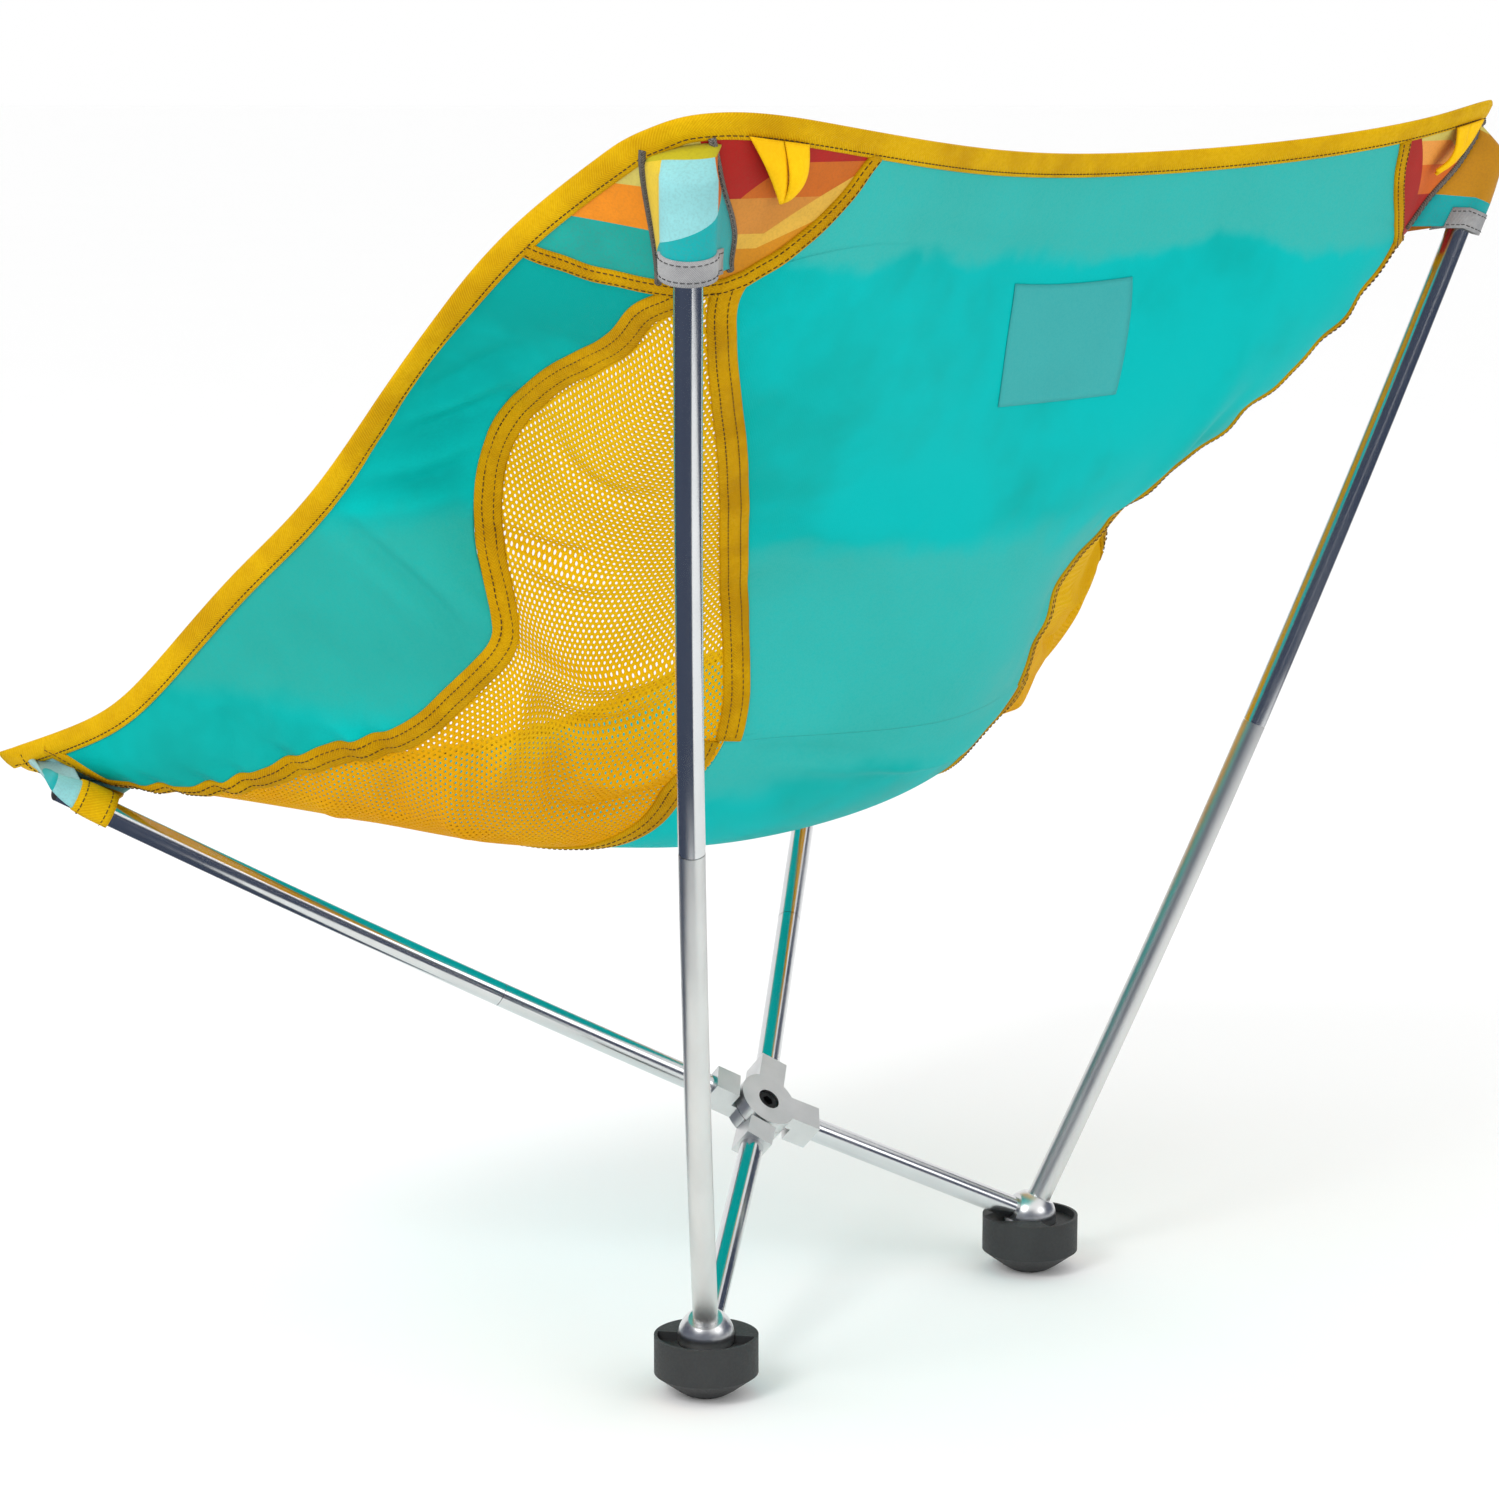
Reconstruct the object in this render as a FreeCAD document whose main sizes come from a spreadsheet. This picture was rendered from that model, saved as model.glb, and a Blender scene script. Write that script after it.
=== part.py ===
"""Two-legged folding camp chair: crossed aluminium poles on a central pivot, two rubber shoes, fabric sling.

The chair faces -Y and +X is the sitter's left. Millimetres, +Z up, floor at Z = 0, and the origin is the
middle of the chair's footprint. Left and right halves mirror each other about the YZ plane.
"""
import FreeCAD, Part
import math
import os
import Sketcher
from FreeCAD import Placement, Rotation, Vector

DIMS = {
    # stance: ball centres, the lean of the crossed front frame, and how far along it things lie
    "feet_offset": 75.3,          # the ball centres stand this far behind the origin
    "foot_spread": 128.0,         # each ball centre, from the middle plane
    "ball_height": 28.0,
    "frame_lean": 43.0,           # degrees from the floor
    "hub_reach": 103.4,           # ball line to pivot, along the leaning frame
    "front_reach": 351.6,         # ball line to where the front poles enter the fabric
    "front_spread": 268.0,
    "rear_spread": 294.0,         # where the rear poles enter the fabric
    "rear_back": 138.0,
    "rear_height": 535.0,
    # tube stock
    "pole_diameter": 12.0,
    "pole_wall": 0.8,
    "ferrule_wall": 0.9,
    "ferrule_half": 30.0,
    "shock_cord_diameter": 3.0,
    "joint_gap": 0.4,
    "rear_bend_radius": 5800.0,   # fabric tension bows the rear poles about 6 mm
    "front_bend_radius": 9200.0,
    "pole_seat": 6.6,             # pole end to ball centre
    "rear_joint": 282.0,          # ball centre to the split in the rear pole
    "front_joint": 150.0,         # pivot to the split in the front pole
    "rear_tuck": 45.0,            # length of pole inside the fabric corner
    "front_tuck": 29.0,
    "cap_length": 12.0,
    "cap_dome": 3.0,
    # pivot plates
    "hub_diameter": 31.0,
    "hub_height": 16.0,
    "hub_gap": 0.3,
    "arm_width": 14.4,
    "arm_start": 17.0,
    "arm_end": 30.0,
    "arm_bore_start": 18.0,
    "bolt_diameter": 6.0,
    "bolt_head_diameter": 10.4,
    "bolt_head_height": 4.0,
    "bolt_recess_diameter": 11.6,
    "bolt_recess_depth": 5.2,
    "hex_socket": 5.0,
    "nut_across": 10.0,
    "nut_height": 4.4,
    "nut_recess_diameter": 12.6,
    # feet
    "ball_diameter": 27.0,
    "spot_face_diameter": 16.4,
    "spot_face_reach": 10.8,
    "shoe_radius": 24.8,
    "shoe_height": 28.5,
    "shoe_wall_start": 10.0,
    "shoe_heel_radius": 10.5,
    "shoe_neck_radius": 14.5,
    "shoe_neck_height": 2.4,
    "shoe_lip": 1.6,
    "shoe_floor": 24.5,
    "shoe_clearance": 0.3,
    "shoe_slot_radius": 10.5,
    # fabric corner pockets, as sleeves round the pole ends
    "rear_pocket_radius": 12.0,
    "rear_pocket_tip_radius": 7.7,
    "front_pocket_radius": 8.8,
    "front_pocket_tip_radius": 7.6,
    "pocket_wall": 0.9,
    "pocket_slack": 3.0,
    "hem_width": 9.0,
    "hem_wall": 0.8,
    # sling fabric
    "cloth": 0.6,
    "tape": 0.7,
    "tape_lift": 1.0,             # tapes and linings lie this far outside the inner face
    "binding_inside": 0.9,
    "binding_thickness": 2.6,
    # webbing tabs by the rear pockets
    "loop_width": 24.0,
    "loop_thickness": 1.6,
    "loop_drop": 24.0,
    "loop_offset": 252.0,
    "loop_back": 164.0,
    "loop_top": 588.0,
}

# The sling's five lengthwise lines on the left half, each from the top edge of the back to the front edge,
# in eleven matching stations. Y is measured from the ball centres.
CENTRE_LINE = [(0, 138, 580), (0, 116, 531), (0, 104, 470), (0, 87, 412), (0, 66, 366), (0, 36, 312),
               (0, 0, 272), (0, -55, 245), (0, -125, 233), (0, -205, 240), (0, -283, 262)]
PANEL_SEAM = [(236, 166, 596), (257, 124, 530), (215, 91, 468), (160, 48, 413), (126, 18, 368), (114, 0, 313),
              (119, -31, 279), (129, -66, 256), (150, -130, 257), (190, -210, 270), (215, -306, 280)]
MESH_MIDDLE = [(268, 163, 600), (264, 118, 527), (240, 62, 466), (207, 14, 418), (185, -10, 367), (168, -24, 317),
               (174, -51, 288), (188, -88, 271), (204, -142, 271), (226, -212, 274), (245, -312, 282)]
STRIP_SEAM = [(299, 152, 601), (270, 109, 527), (251, 20, 486), (240, -29, 449), (236, -39, 408), (229, -33, 372),
              (226, -55, 343), (230, -95, 318), (241, -145, 305), (252, -210, 284), (268, -318, 283)]
OUTER_EDGE = [(312, 132, 597), (303, 52, 555), (299, 0, 514), (293, -42, 477), (287, -80, 443), (283, -115, 416),
              (281, -150, 391), (278, -190, 360), (275, -228, 331), (274, -265, 311), (278, -318, 292)]
LENGTH_LINES = [CENTRE_LINE, PANEL_SEAM, MESH_MIDDLE, STRIP_SEAM, OUTER_EDGE]
STATIONS = len(CENTRE_LINE) - 1
STEPS_PER_LINE = 8              # columns sampled between one line and the next

# Sewn pieces, each as its reach across the sling in line numbers (0 middle, 1 panel seam, 3 strip seam,
# 4 outer edge), its reach along it in station numbers, and its layer.
WHOLE_PIECES = {
    "back_panel": ((-0.93, 0.93), (0.27, 4.97), "cloth"),
    "seat_panel": ((-0.93, 0.93), (5.03, 9.83), "cloth"),
    "label_patch": ((-0.17, 0.21), (1.1, 2.1), "tape"),
    "back_binding": ((-3.4, 3.4), (0.0, 0.24), "binding"),
    "front_binding": ((-3.7, 3.7), (9.86, 10.0), "binding"),
}
SIDE_PIECES = {
    "mesh_panel": ((1.06, 2.94), (1.1, 9.4), "cloth"),
    "side_strip": ((3.06, 3.82), (1.1, 9.6), "cloth"),
    "panel_seam_tape": ((0.92, 1.08), (1.1, 9.4), "tape"),
    "strip_seam_tape": ((2.9, 3.1), (1.1, 9.4), "tape"),
    "side_binding": ((3.86, 4.0), (0.26, 9.84), "binding"),
    "rear_corner_lining": ((0.95, 3.8), (0.3, 1.05), "tape"),
    "front_corner_lining": ((1.6, 3.8), (9.45, 9.82), "tape"),
}

SIDES = {"left": 1, "right": -1}

doc = FreeCAD.newDocument("two_leg_camp_chair")
sheet = doc.addObject("Spreadsheet::Sheet", "dims")
for row, (alias, value) in enumerate(DIMS.items(), start=1):
    sheet.set(f"A{row}", alias)
    sheet.set(f"B{row}", str(value))
    sheet.setAlias(f"B{row}", alias)
doc.recompute()

subparts = []


def dim(alias):
    return float(sheet.get(alias))


def bind(obj, **expressions):
    for prop, expression in expressions.items():
        obj.setExpression(prop, expression)
    return obj


def finish(obj, label, placement=None):
    """Give a sub-part its label and place, and list it for writing."""
    obj.Label = label
    if placement is not None:
        obj.Placement = placement
    subparts.append(obj)
    return obj


def along_z(origin, direction, towards=None):
    """Placement that carries local Z onto direction, with local X as near towards as it can be."""
    z_axis = Vector(direction).normalize()
    guide = Vector(towards) if towards else Vector(1, 0, 0)
    y_axis = z_axis.cross(guide).normalize()
    x_axis = y_axis.cross(z_axis)
    return Placement(origin, Rotation(x_axis, y_axis, z_axis, "ZXY"))


# ---------------------------------------------------------------- frame geometry


def ball_centre(side):
    return Vector(side * dim("foot_spread"), dim("feet_offset"), dim("ball_height"))


def on_lean(x, reach):
    """A point of the leaning front frame, at this reach from the line through the ball centres."""
    lean = math.radians(dim("frame_lean"))
    forward = Vector(0, -math.cos(lean), math.sin(lean)) * reach
    return Vector(x, dim("feet_offset"), dim("ball_height")) + forward


HUB = on_lean(0, dim("hub_reach"))
HUB_PLACE = Placement(HUB, Rotation(Vector(1, 0, 0), -dim("frame_lean")))


class PolePath:
    """A pole's centre line: from start, through aim, on an arc of the named radius that curves inward."""

    def __init__(self, start, aim, inward, bend=None):
        chord = aim - start
        along = Vector(chord).normalize()
        across = (inward - along * inward.dot(along)).normalize()
        self.bend = bend
        if bend is None:
            self.place = along_z(start, along, across)
        else:
            dip = math.asin(chord.Length / (2 * dim(bend)))
            tangent = along * math.cos(dip) - across * math.sin(dip)
            self.place = along_z(start, tangent, across)

    def at(self, distance):
        """Placement at this distance along the path, with local Z along it."""
        if self.bend is None:
            return self.place.multiply(Placement(Vector(0, 0, distance), Rotation()))
        radius = dim(self.bend)
        turn = math.degrees(distance / radius)
        swing = Placement(Vector(), Rotation(Vector(0, 1, 0), turn), Vector(radius, 0, 0))
        return self.place.multiply(swing)


def pole_paths(side):
    ball = ball_centre(side)
    front = on_lean(side * dim("front_spread"), dim("front_reach"))
    rear = Vector(side * dim("rear_spread"), dim("feet_offset") + dim("rear_back"), dim("rear_height"))
    return {
        "foot": PolePath(ball, HUB, Vector(0, 0, 1)),
        "front": PolePath(HUB, front, Vector(0, 0, 1), "front_bend_radius"),
        "rear": PolePath(ball, rear, Vector(-side, -0.35, 0), "rear_bend_radius"),
    }


def chord_length(path_name):
    paths = {"foot": (ball_centre(1), HUB),
             "front": (HUB, on_lean(dim("front_spread"), dim("front_reach"))),
             "rear": (ball_centre(1), Vector(dim("rear_spread"), dim("feet_offset") + dim("rear_back"),
                                             dim("rear_height")))}
    start, end = paths[path_name]
    return (end - start).Length


# ---------------------------------------------------------------- tubes and cords


def origin_plane(body, role):
    return next(feature for feature in body.Origin.OriginFeatures if feature.Role == role)


def ring_sketch(body, radii):
    """Concentric circles about the body's own Z axis, each radius an expression."""
    sketch = body.newObject("Sketcher::SketchObject", body.Name + "_ring")
    sketch.AttachmentSupport = (origin_plane(body, "XY_Plane"), [""])
    sketch.MapMode = "FlatFace"
    for index, expression in enumerate(radii):
        sketch.addGeometry(Part.Circle(Vector(), Vector(0, 0, 1), 1.0 + index), False)
        sketch.addConstraint(Sketcher.Constraint("Coincident", index, 3, -1, 1))
        number = sketch.addConstraint(Sketcher.Constraint("Radius", index, 1.0 + index))
        sketch.setExpression(f"Constraints[{number}]", expression)
    return sketch


def pole_piece(label, path, start, end, radii):
    """A straight or gently bent tube or rod of one path, between two distances along it."""
    body = doc.addObject("PartDesign::Body", label)
    sketch = ring_sketch(body, radii)
    if path.bend is None:
        pad = body.newObject("PartDesign::Pad", label + "_run")
        pad.Profile = sketch
        pad.Length = end - start
    else:
        centre_line = sketch.addGeometry(Part.LineSegment(Vector(100, -5, 0), Vector(100, 5, 0)), True)
        sketch.addConstraint(Sketcher.Constraint("Vertical", centre_line))
        sketch.addConstraint(Sketcher.Constraint("DistanceY", centre_line, 1, centre_line, 2, 10.0))
        sketch.addConstraint(Sketcher.Constraint("DistanceY", centre_line, 1, -1, 1, 5.0))
        number = sketch.addConstraint(Sketcher.Constraint("DistanceX", -1, 1, centre_line, 1, 100.0))
        sketch.setExpression(f"Constraints[{number}]", f"dims.{path.bend}")
        bend = body.newObject("PartDesign::Revolution", label + "_bend")
        bend.Profile = sketch
        bend.ReferenceAxis = (sketch, ["Axis0"])
        bend.Angle = math.degrees((end - start) / dim(path.bend))
    doc.recompute()
    return finish(body, label, path.at(start))


OUTSIDE = "dims.pole_diameter / 2"
INSIDE = "dims.pole_diameter / 2 - dims.pole_wall"
FERRULE_INSIDE = "dims.pole_diameter / 2 - dims.pole_wall - dims.ferrule_wall"
CORD = "dims.shock_cord_diameter / 2"


def pole_set(side_name, side):
    """All tubes, ferrules, shock cords and end caps of one side."""
    paths = pole_paths(side)
    half_gap = dim("joint_gap") / 2
    seat = dim("pole_seat")
    hub_seat = dim("arm_bore_start")
    foot_end = chord_length("foot") - hub_seat
    pole_piece(f"foot_pole_{side_name}", paths["foot"], seat, foot_end, [OUTSIDE, INSIDE])
    runs = {"front": (hub_seat, dim("front_joint"), chord_length("front") + dim("front_tuck")),
            "rear": (seat, dim("rear_joint"), chord_length("rear") + dim("rear_tuck"))}
    for name, (start, joint, end) in runs.items():
        path = paths[name]
        tube_end = end - dim("cap_dome")
        ferrule = dim("ferrule_half")
        pole_piece(f"{name}_pole_lower_{side_name}", path, start, joint - half_gap, [OUTSIDE, INSIDE])
        pole_piece(f"{name}_pole_upper_{side_name}", path, joint + half_gap, tube_end, [OUTSIDE, INSIDE])
        pole_piece(f"{name}_ferrule_{side_name}", path, joint - ferrule, joint + ferrule,
                   [INSIDE, FERRULE_INSIDE])
        pole_piece(f"{name}_shock_cord_{side_name}", path, start + 2, tube_end - dim("cap_length") - 1, [CORD])
        end_cap(f"{name}_pole_cap_{side_name}", path.at(tube_end))


def end_cap(label, placement):
    """A plastic plug with a domed end, pushed into the pole."""
    stem = bind(doc.addObject("Part::Cylinder", label + "_stem"),
                Radius="dims.pole_diameter / 2 - dims.pole_wall", Height="dims.cap_length")
    stem.Placement = Placement(Vector(0, 0, -dim("cap_length")), Rotation())
    dome = bind(doc.addObject("Part::Ellipsoid", label + "_dome"),
                Radius1="dims.cap_dome", Radius2="dims.pole_diameter / 2", Radius3="dims.pole_diameter / 2")
    dome.Angle1 = 0
    dome.Angle2 = 90
    cap = doc.addObject("Part::Fuse", label)
    cap.Base = stem
    cap.Tool = dome
    doc.recompute()
    return finish(cap, label, placement)


# ---------------------------------------------------------------- pivot hub


def hub_angle(side, path_name):
    """Direction of a pole from the pivot, as an angle in the hub's own plane."""
    aim = ball_centre(side) if path_name == "foot" else on_lean(side * dim("front_spread"), dim("front_reach"))
    local = HUB_PLACE.inverse().multVec(aim)
    return math.degrees(math.atan2(local.y, local.x))


def hub_plate(label, side, upper):
    """Half-thickness disc with two full-height arms, each bored for a pole; the arms clear the other disc."""
    disc = bind(doc.addObject("Part::Cylinder", label + "_disc"),
                Radius="dims.hub_diameter / 2", Height="(dims.hub_height - dims.hub_gap) / 2")
    low = dim("hub_gap") / 2 if upper else -dim("hub_height") / 2
    disc.Placement = Placement(Vector(0, 0, low), Rotation())
    solids = [disc]
    bores = []
    for path_name in ("front", "foot"):
        angle = hub_angle(side, path_name)
        turned = Rotation(Vector(0, 0, 1), angle)
        arm = bind(doc.addObject("Part::Box", f"{label}_{path_name}_arm"), Width="dims.arm_width",
                   Height="dims.hub_height", Length="dims.arm_end - dims.arm_start")
        corner = Vector(dim("arm_start"), -dim("arm_width") / 2, -dim("hub_height") / 2)
        arm.Placement = Placement(turned.multVec(corner), turned)
        root = bind(doc.addObject("Part::Box", f"{label}_{path_name}_root"), Width="dims.arm_width",
                    Height="(dims.hub_height - dims.hub_gap) / 2", Length="dims.arm_start + 1")
        root.Placement = Placement(turned.multVec(Vector(0, -dim("arm_width") / 2, low)), turned)
        bore = bind(doc.addObject("Part::Cylinder", f"{label}_{path_name}_bore"),
                    Radius="dims.pole_diameter / 2", Height="dims.arm_end - dims.arm_bore_start + 1")
        start = dim("arm_bore_start") if path_name == "front" else chord_length("foot") - dim("arm_end") - 1
        bore.Placement = HUB_PLACE.inverse().multiply(pole_paths(side)[path_name].at(start))
        solids += [arm, root]
        bores.append(bore)
    shaft = bind(doc.addObject("Part::Cylinder", label + "_shaft_hole"),
                 Radius="dims.bolt_diameter / 2 + 0.05", Height="dims.hub_height * 2")
    shaft.Placement = Placement(Vector(0, 0, -dim("hub_height")), Rotation())
    recess_size = "dims.bolt_recess_diameter / 2" if upper else "dims.nut_recess_diameter / 2"
    recess = bind(doc.addObject("Part::Cylinder", label + "_recess"), Radius=recess_size,
                  Height="dims.hub_height")
    depth = dim("bolt_recess_depth")
    recess_low = dim("hub_height") / 2 - depth if upper else -dim("hub_height") * 1.5 + depth
    recess.Placement = Placement(Vector(0, 0, recess_low), Rotation())
    blank = doc.addObject("Part::MultiFuse", label + "_blank")
    blank.Shapes = solids
    holes = doc.addObject("Part::MultiFuse", label + "_holes")
    holes.Shapes = bores + [shaft, recess]
    plate = doc.addObject("Part::Cut", label)
    plate.Base = blank
    plate.Tool = holes
    plate.Refine = True
    doc.recompute()
    return finish(plate, label, HUB_PLACE)


def hub_fasteners():
    """Socket-head bolt in the upper plate's recess, and its nut in the lower plate's."""
    seat = dim("hub_height") / 2 - dim("bolt_recess_depth")
    head = bind(doc.addObject("Part::Cylinder", "hub_bolt_head"),
                Radius="dims.bolt_head_diameter / 2", Height="dims.bolt_head_height")
    head.Placement = Placement(Vector(0, 0, seat), Rotation())
    shank = bind(doc.addObject("Part::Cylinder", "hub_bolt_shank"),
                 Radius="dims.bolt_diameter / 2", Height="dims.hub_height - dims.bolt_recess_depth - 0.6")
    shank.Placement = Placement(Vector(0, 0, seat - dim("hub_height") + dim("bolt_recess_depth") + 0.6), Rotation())
    socket = bind(doc.addObject("Part::Prism", "hub_bolt_socket"), Height="dims.bolt_head_height",
                  Circumradius="dims.hex_socket / 2 / cos(30 deg)")
    socket.Placement = Placement(Vector(0, 0, seat + 1.2), Rotation())
    solid = doc.addObject("Part::Fuse", "hub_bolt_blank")
    solid.Base = head
    solid.Tool = shank
    bolt = doc.addObject("Part::Cut", "hub_bolt")
    bolt.Base = solid
    bolt.Tool = socket
    blank = bind(doc.addObject("Part::Prism", "hub_nut_blank"), Height="dims.nut_height",
                 Circumradius="dims.nut_across / 2 / cos(30 deg)")
    bore = bind(doc.addObject("Part::Cylinder", "hub_nut_bore"),
                Radius="dims.bolt_diameter / 2", Height="dims.nut_height")
    nut = doc.addObject("Part::Cut", "hub_nut")
    nut.Base = blank
    nut.Tool = bore
    doc.recompute()
    finish(bolt, "hub_bolt", HUB_PLACE)
    nut_base = -dim("hub_height") / 2 + dim("bolt_recess_depth") - dim("nut_height") - 0.1
    finish(nut, "hub_nut", HUB_PLACE.multiply(Placement(Vector(0, 0, nut_base), Rotation())))


# ---------------------------------------------------------------- feet


def foot_ball(side_name, side):
    """Turned ball with a flat-faced socket for each pole."""
    label = f"foot_ball_{side_name}"
    ball = bind(doc.addObject("Part::Sphere", label + "_blank"), Radius="dims.ball_diameter / 2")
    cuts = []
    paths = pole_paths(side)
    for name in ("foot", "rear"):
        place = paths[name].place
        direction = Placement(Vector(), place.Rotation)
        bore = bind(doc.addObject("Part::Cylinder", f"{label}_{name}_bore"),
                    Radius="dims.pole_diameter / 2", Height="dims.ball_diameter")
        bore.Placement = direction.multiply(Placement(Vector(0, 0, dim("pole_seat")), Rotation()))
        face = bind(doc.addObject("Part::Cylinder", f"{label}_{name}_face"),
                    Radius="dims.spot_face_diameter / 2", Height="dims.ball_diameter")
        face.Placement = direction.multiply(Placement(Vector(0, 0, dim("spot_face_reach")), Rotation()))
        cuts += [bore, face]
    tool = doc.addObject("Part::MultiFuse", label + "_cuts")
    tool.Shapes = cuts
    body = doc.addObject("Part::Cut", label)
    body.Base = ball
    body.Tool = tool
    doc.recompute()
    return finish(body, label, Placement(ball_centre(side), Rotation()))


def shoe_sketch(body):
    """Half section of the rubber shoe: flat heel, flared neck, straight wall, thin lip, raised floor."""
    sketch = body.newObject("Sketcher::SketchObject", body.Name + "_section")
    sketch.AttachmentSupport = (origin_plane(body, "XZ_Plane"), [""])
    sketch.MapMode = "FlatFace"
    corners = [("0", "0"), ("dims.shoe_heel_radius", "0"), ("dims.shoe_neck_radius", "dims.shoe_neck_height"),
               ("dims.shoe_radius", "dims.shoe_wall_start"), ("dims.shoe_radius", "dims.shoe_height"),
               ("dims.shoe_radius - dims.shoe_lip", "dims.shoe_height"),
               ("dims.shoe_radius - dims.shoe_lip", "dims.shoe_floor"), ("0", "dims.shoe_floor")]
    rough = [(0, 0), (7, 0), (13, 5), (25, 13), (25, 31), (23, 31), (23, 27), (0, 27)]
    for index, point in enumerate(rough):
        after = rough[(index + 1) % len(rough)]
        sketch.addGeometry(Part.LineSegment(Vector(*point, 0), Vector(*after, 0)), False)
    for index, (radius, height) in enumerate(corners):
        sketch.addConstraint(Sketcher.Constraint("Coincident", index - 1 if index else len(corners) - 1, 2, index, 1))
        for kind, expression, value in (("DistanceX", radius, rough[index][0]), ("DistanceY", height, rough[index][1])):
            if expression == "0":
                point_on = Sketcher.Constraint("PointOnObject", index, 1, -2 if kind == "DistanceX" else -1)
                sketch.addConstraint(point_on)
            else:
                number = sketch.addConstraint(Sketcher.Constraint(kind, -1, 1, index, 1, float(value)))
                sketch.setExpression(f"Constraints[{number}]", expression)
    return sketch


def foot_shoe(side_name, side):
    """Rubber cup that snaps over the ball, with a half collar and a slot that clears the foot pole."""
    label = f"foot_shoe_{side_name}"
    blank = doc.addObject("PartDesign::Body", label + "_blank")
    sketch = shoe_sketch(blank)
    turn = blank.newObject("PartDesign::Revolution", label + "_turned")
    turn.Profile = sketch
    turn.ReferenceAxis = (sketch, ["V_Axis"])
    turn.Angle = 360
    doc.recompute()
    collar = bind(doc.addObject("Part::Cylinder", label + "_collar"),
                  Radius="dims.shoe_radius - dims.shoe_lip / 2", Height="dims.shoe_height - dims.shoe_floor + 0.5",
                  Angle="180")
    toward_hub = math.degrees(math.atan2(HUB.y - dim("feet_offset"), HUB.x - side * dim("foot_spread")))
    collar.Placement = Placement(Vector(0, 0, dim("shoe_floor") - 0.5),
                                 Rotation(Vector(0, 0, 1), toward_hub - 90))
    cup = doc.addObject("Part::Fuse", label + "_cup")
    cup.Base = blank
    cup.Tool = collar
    seat = bind(doc.addObject("Part::Sphere", label + "_seat"),
                Radius="dims.ball_diameter / 2 + dims.shoe_clearance")
    seat.Placement = Placement(Vector(0, 0, dim("ball_height")), Rotation())
    slot = bind(doc.addObject("Part::Cylinder", label + "_slot"), Radius="dims.shoe_slot_radius",
                Height="dims.shoe_radius * 2")
    direction = HUB - ball_centre(side)
    slot.Placement = along_z(Vector(0, 0, dim("ball_height")), direction)
    cuts = doc.addObject("Part::Fuse", label + "_cuts")
    cuts.Base = seat
    cuts.Tool = slot
    shoe = doc.addObject("Part::Cut", label)
    shoe.Base = cup
    shoe.Tool = cuts
    doc.recompute()
    ball = ball_centre(side)
    return finish(shoe, label, Placement(Vector(ball.x, ball.y, 0), Rotation()))


# ---------------------------------------------------------------- fabric corner pockets


def pocket(side_name, side, end_name):
    """A tapered sleeve over a pole end, closed past the tip, with a webbing hem round its mouth."""
    tuck = dim(f"{end_name}_tuck")
    length = tuck + dim("pocket_slack")
    place = pole_paths(side)[end_name].at(chord_length(end_name))
    wide, narrow = f"dims.{end_name}_pocket_radius", f"dims.{end_name}_pocket_tip_radius"
    label = f"{end_name}_pocket_{side_name}"
    outer = bind(doc.addObject("Part::Cone", label + "_outer"), Radius1=wide, Radius2=narrow)
    outer.Height = length
    inner = bind(doc.addObject("Part::Cone", label + "_inner"), Radius1=wide + " - dims.pocket_wall",
                 Radius2=narrow + " - dims.pocket_wall")
    inner.Height = length - dim("pocket_wall")
    sleeve = doc.addObject("Part::Cut", label)
    sleeve.Base = outer
    sleeve.Tool = inner
    hem_label = f"{end_name}_pocket_hem_{side_name}"
    band = bind(doc.addObject("Part::Cylinder", hem_label + "_band"),
                Radius=wide + " + 0.2 + dims.hem_wall", Height="dims.hem_width")
    mouth = bind(doc.addObject("Part::Cylinder", hem_label + "_mouth"), Radius=wide + " + 0.2",
                 Height="dims.hem_width")
    hem = doc.addObject("Part::Cut", hem_label)
    hem.Base = band
    hem.Tool = mouth
    doc.recompute()
    finish(sleeve, label, place)
    finish(hem, hem_label, place)


# ---------------------------------------------------------------- sling


def steady_slopes(lengths):
    """Slopes for a monotone curve through running totals of these lengths, one at each joint and end."""
    inner = [2 * a * b / (a + b) for a, b in zip(lengths, lengths[1:])]
    return [lengths[0]] + inner + [lengths[-1]]


def sampled_row(points):
    """Even steps of line number along a smooth curve through one station's points."""
    lengths = [(b - a).Length for a, b in zip(points, points[1:])]
    reached = [sum(lengths[:i]) for i in range(len(points))]
    curve = Part.BSplineCurve()
    curve.interpolate(Points=points, Parameters=reached)
    slopes = steady_slopes(lengths)
    samples = []
    for i, length in enumerate(lengths):
        for step in range(STEPS_PER_LINE):
            t = step / STEPS_PER_LINE
            ease = t * t * (3 - 2 * t)
            start_pull = t * (1 - t) ** 2 * slopes[i]
            end_pull = t * t * (t - 1) * slopes[i + 1]
            samples.append(curve.value(reached[i] + ease * length + start_pull + end_pull))
    samples.append(points[-1])
    return samples


def sling_grid():
    """Rows of points across the whole sling, right edge to left edge, one row per station."""
    shift = Vector(0, dim("feet_offset"), 0)
    rows = []
    for station in range(STATIONS + 1):
        left = [Vector(*line[station]) + shift for line in LENGTH_LINES]
        right = [Vector(-point.x, point.y, point.z) for point in reversed(left[1:])]
        rows.append(sampled_row(right + left))
    return rows


def spline_poles(points, parameters):
    curve = Part.BSplineCurve()
    curve.interpolate(Points=list(points), Parameters=parameters)
    return curve


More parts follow.
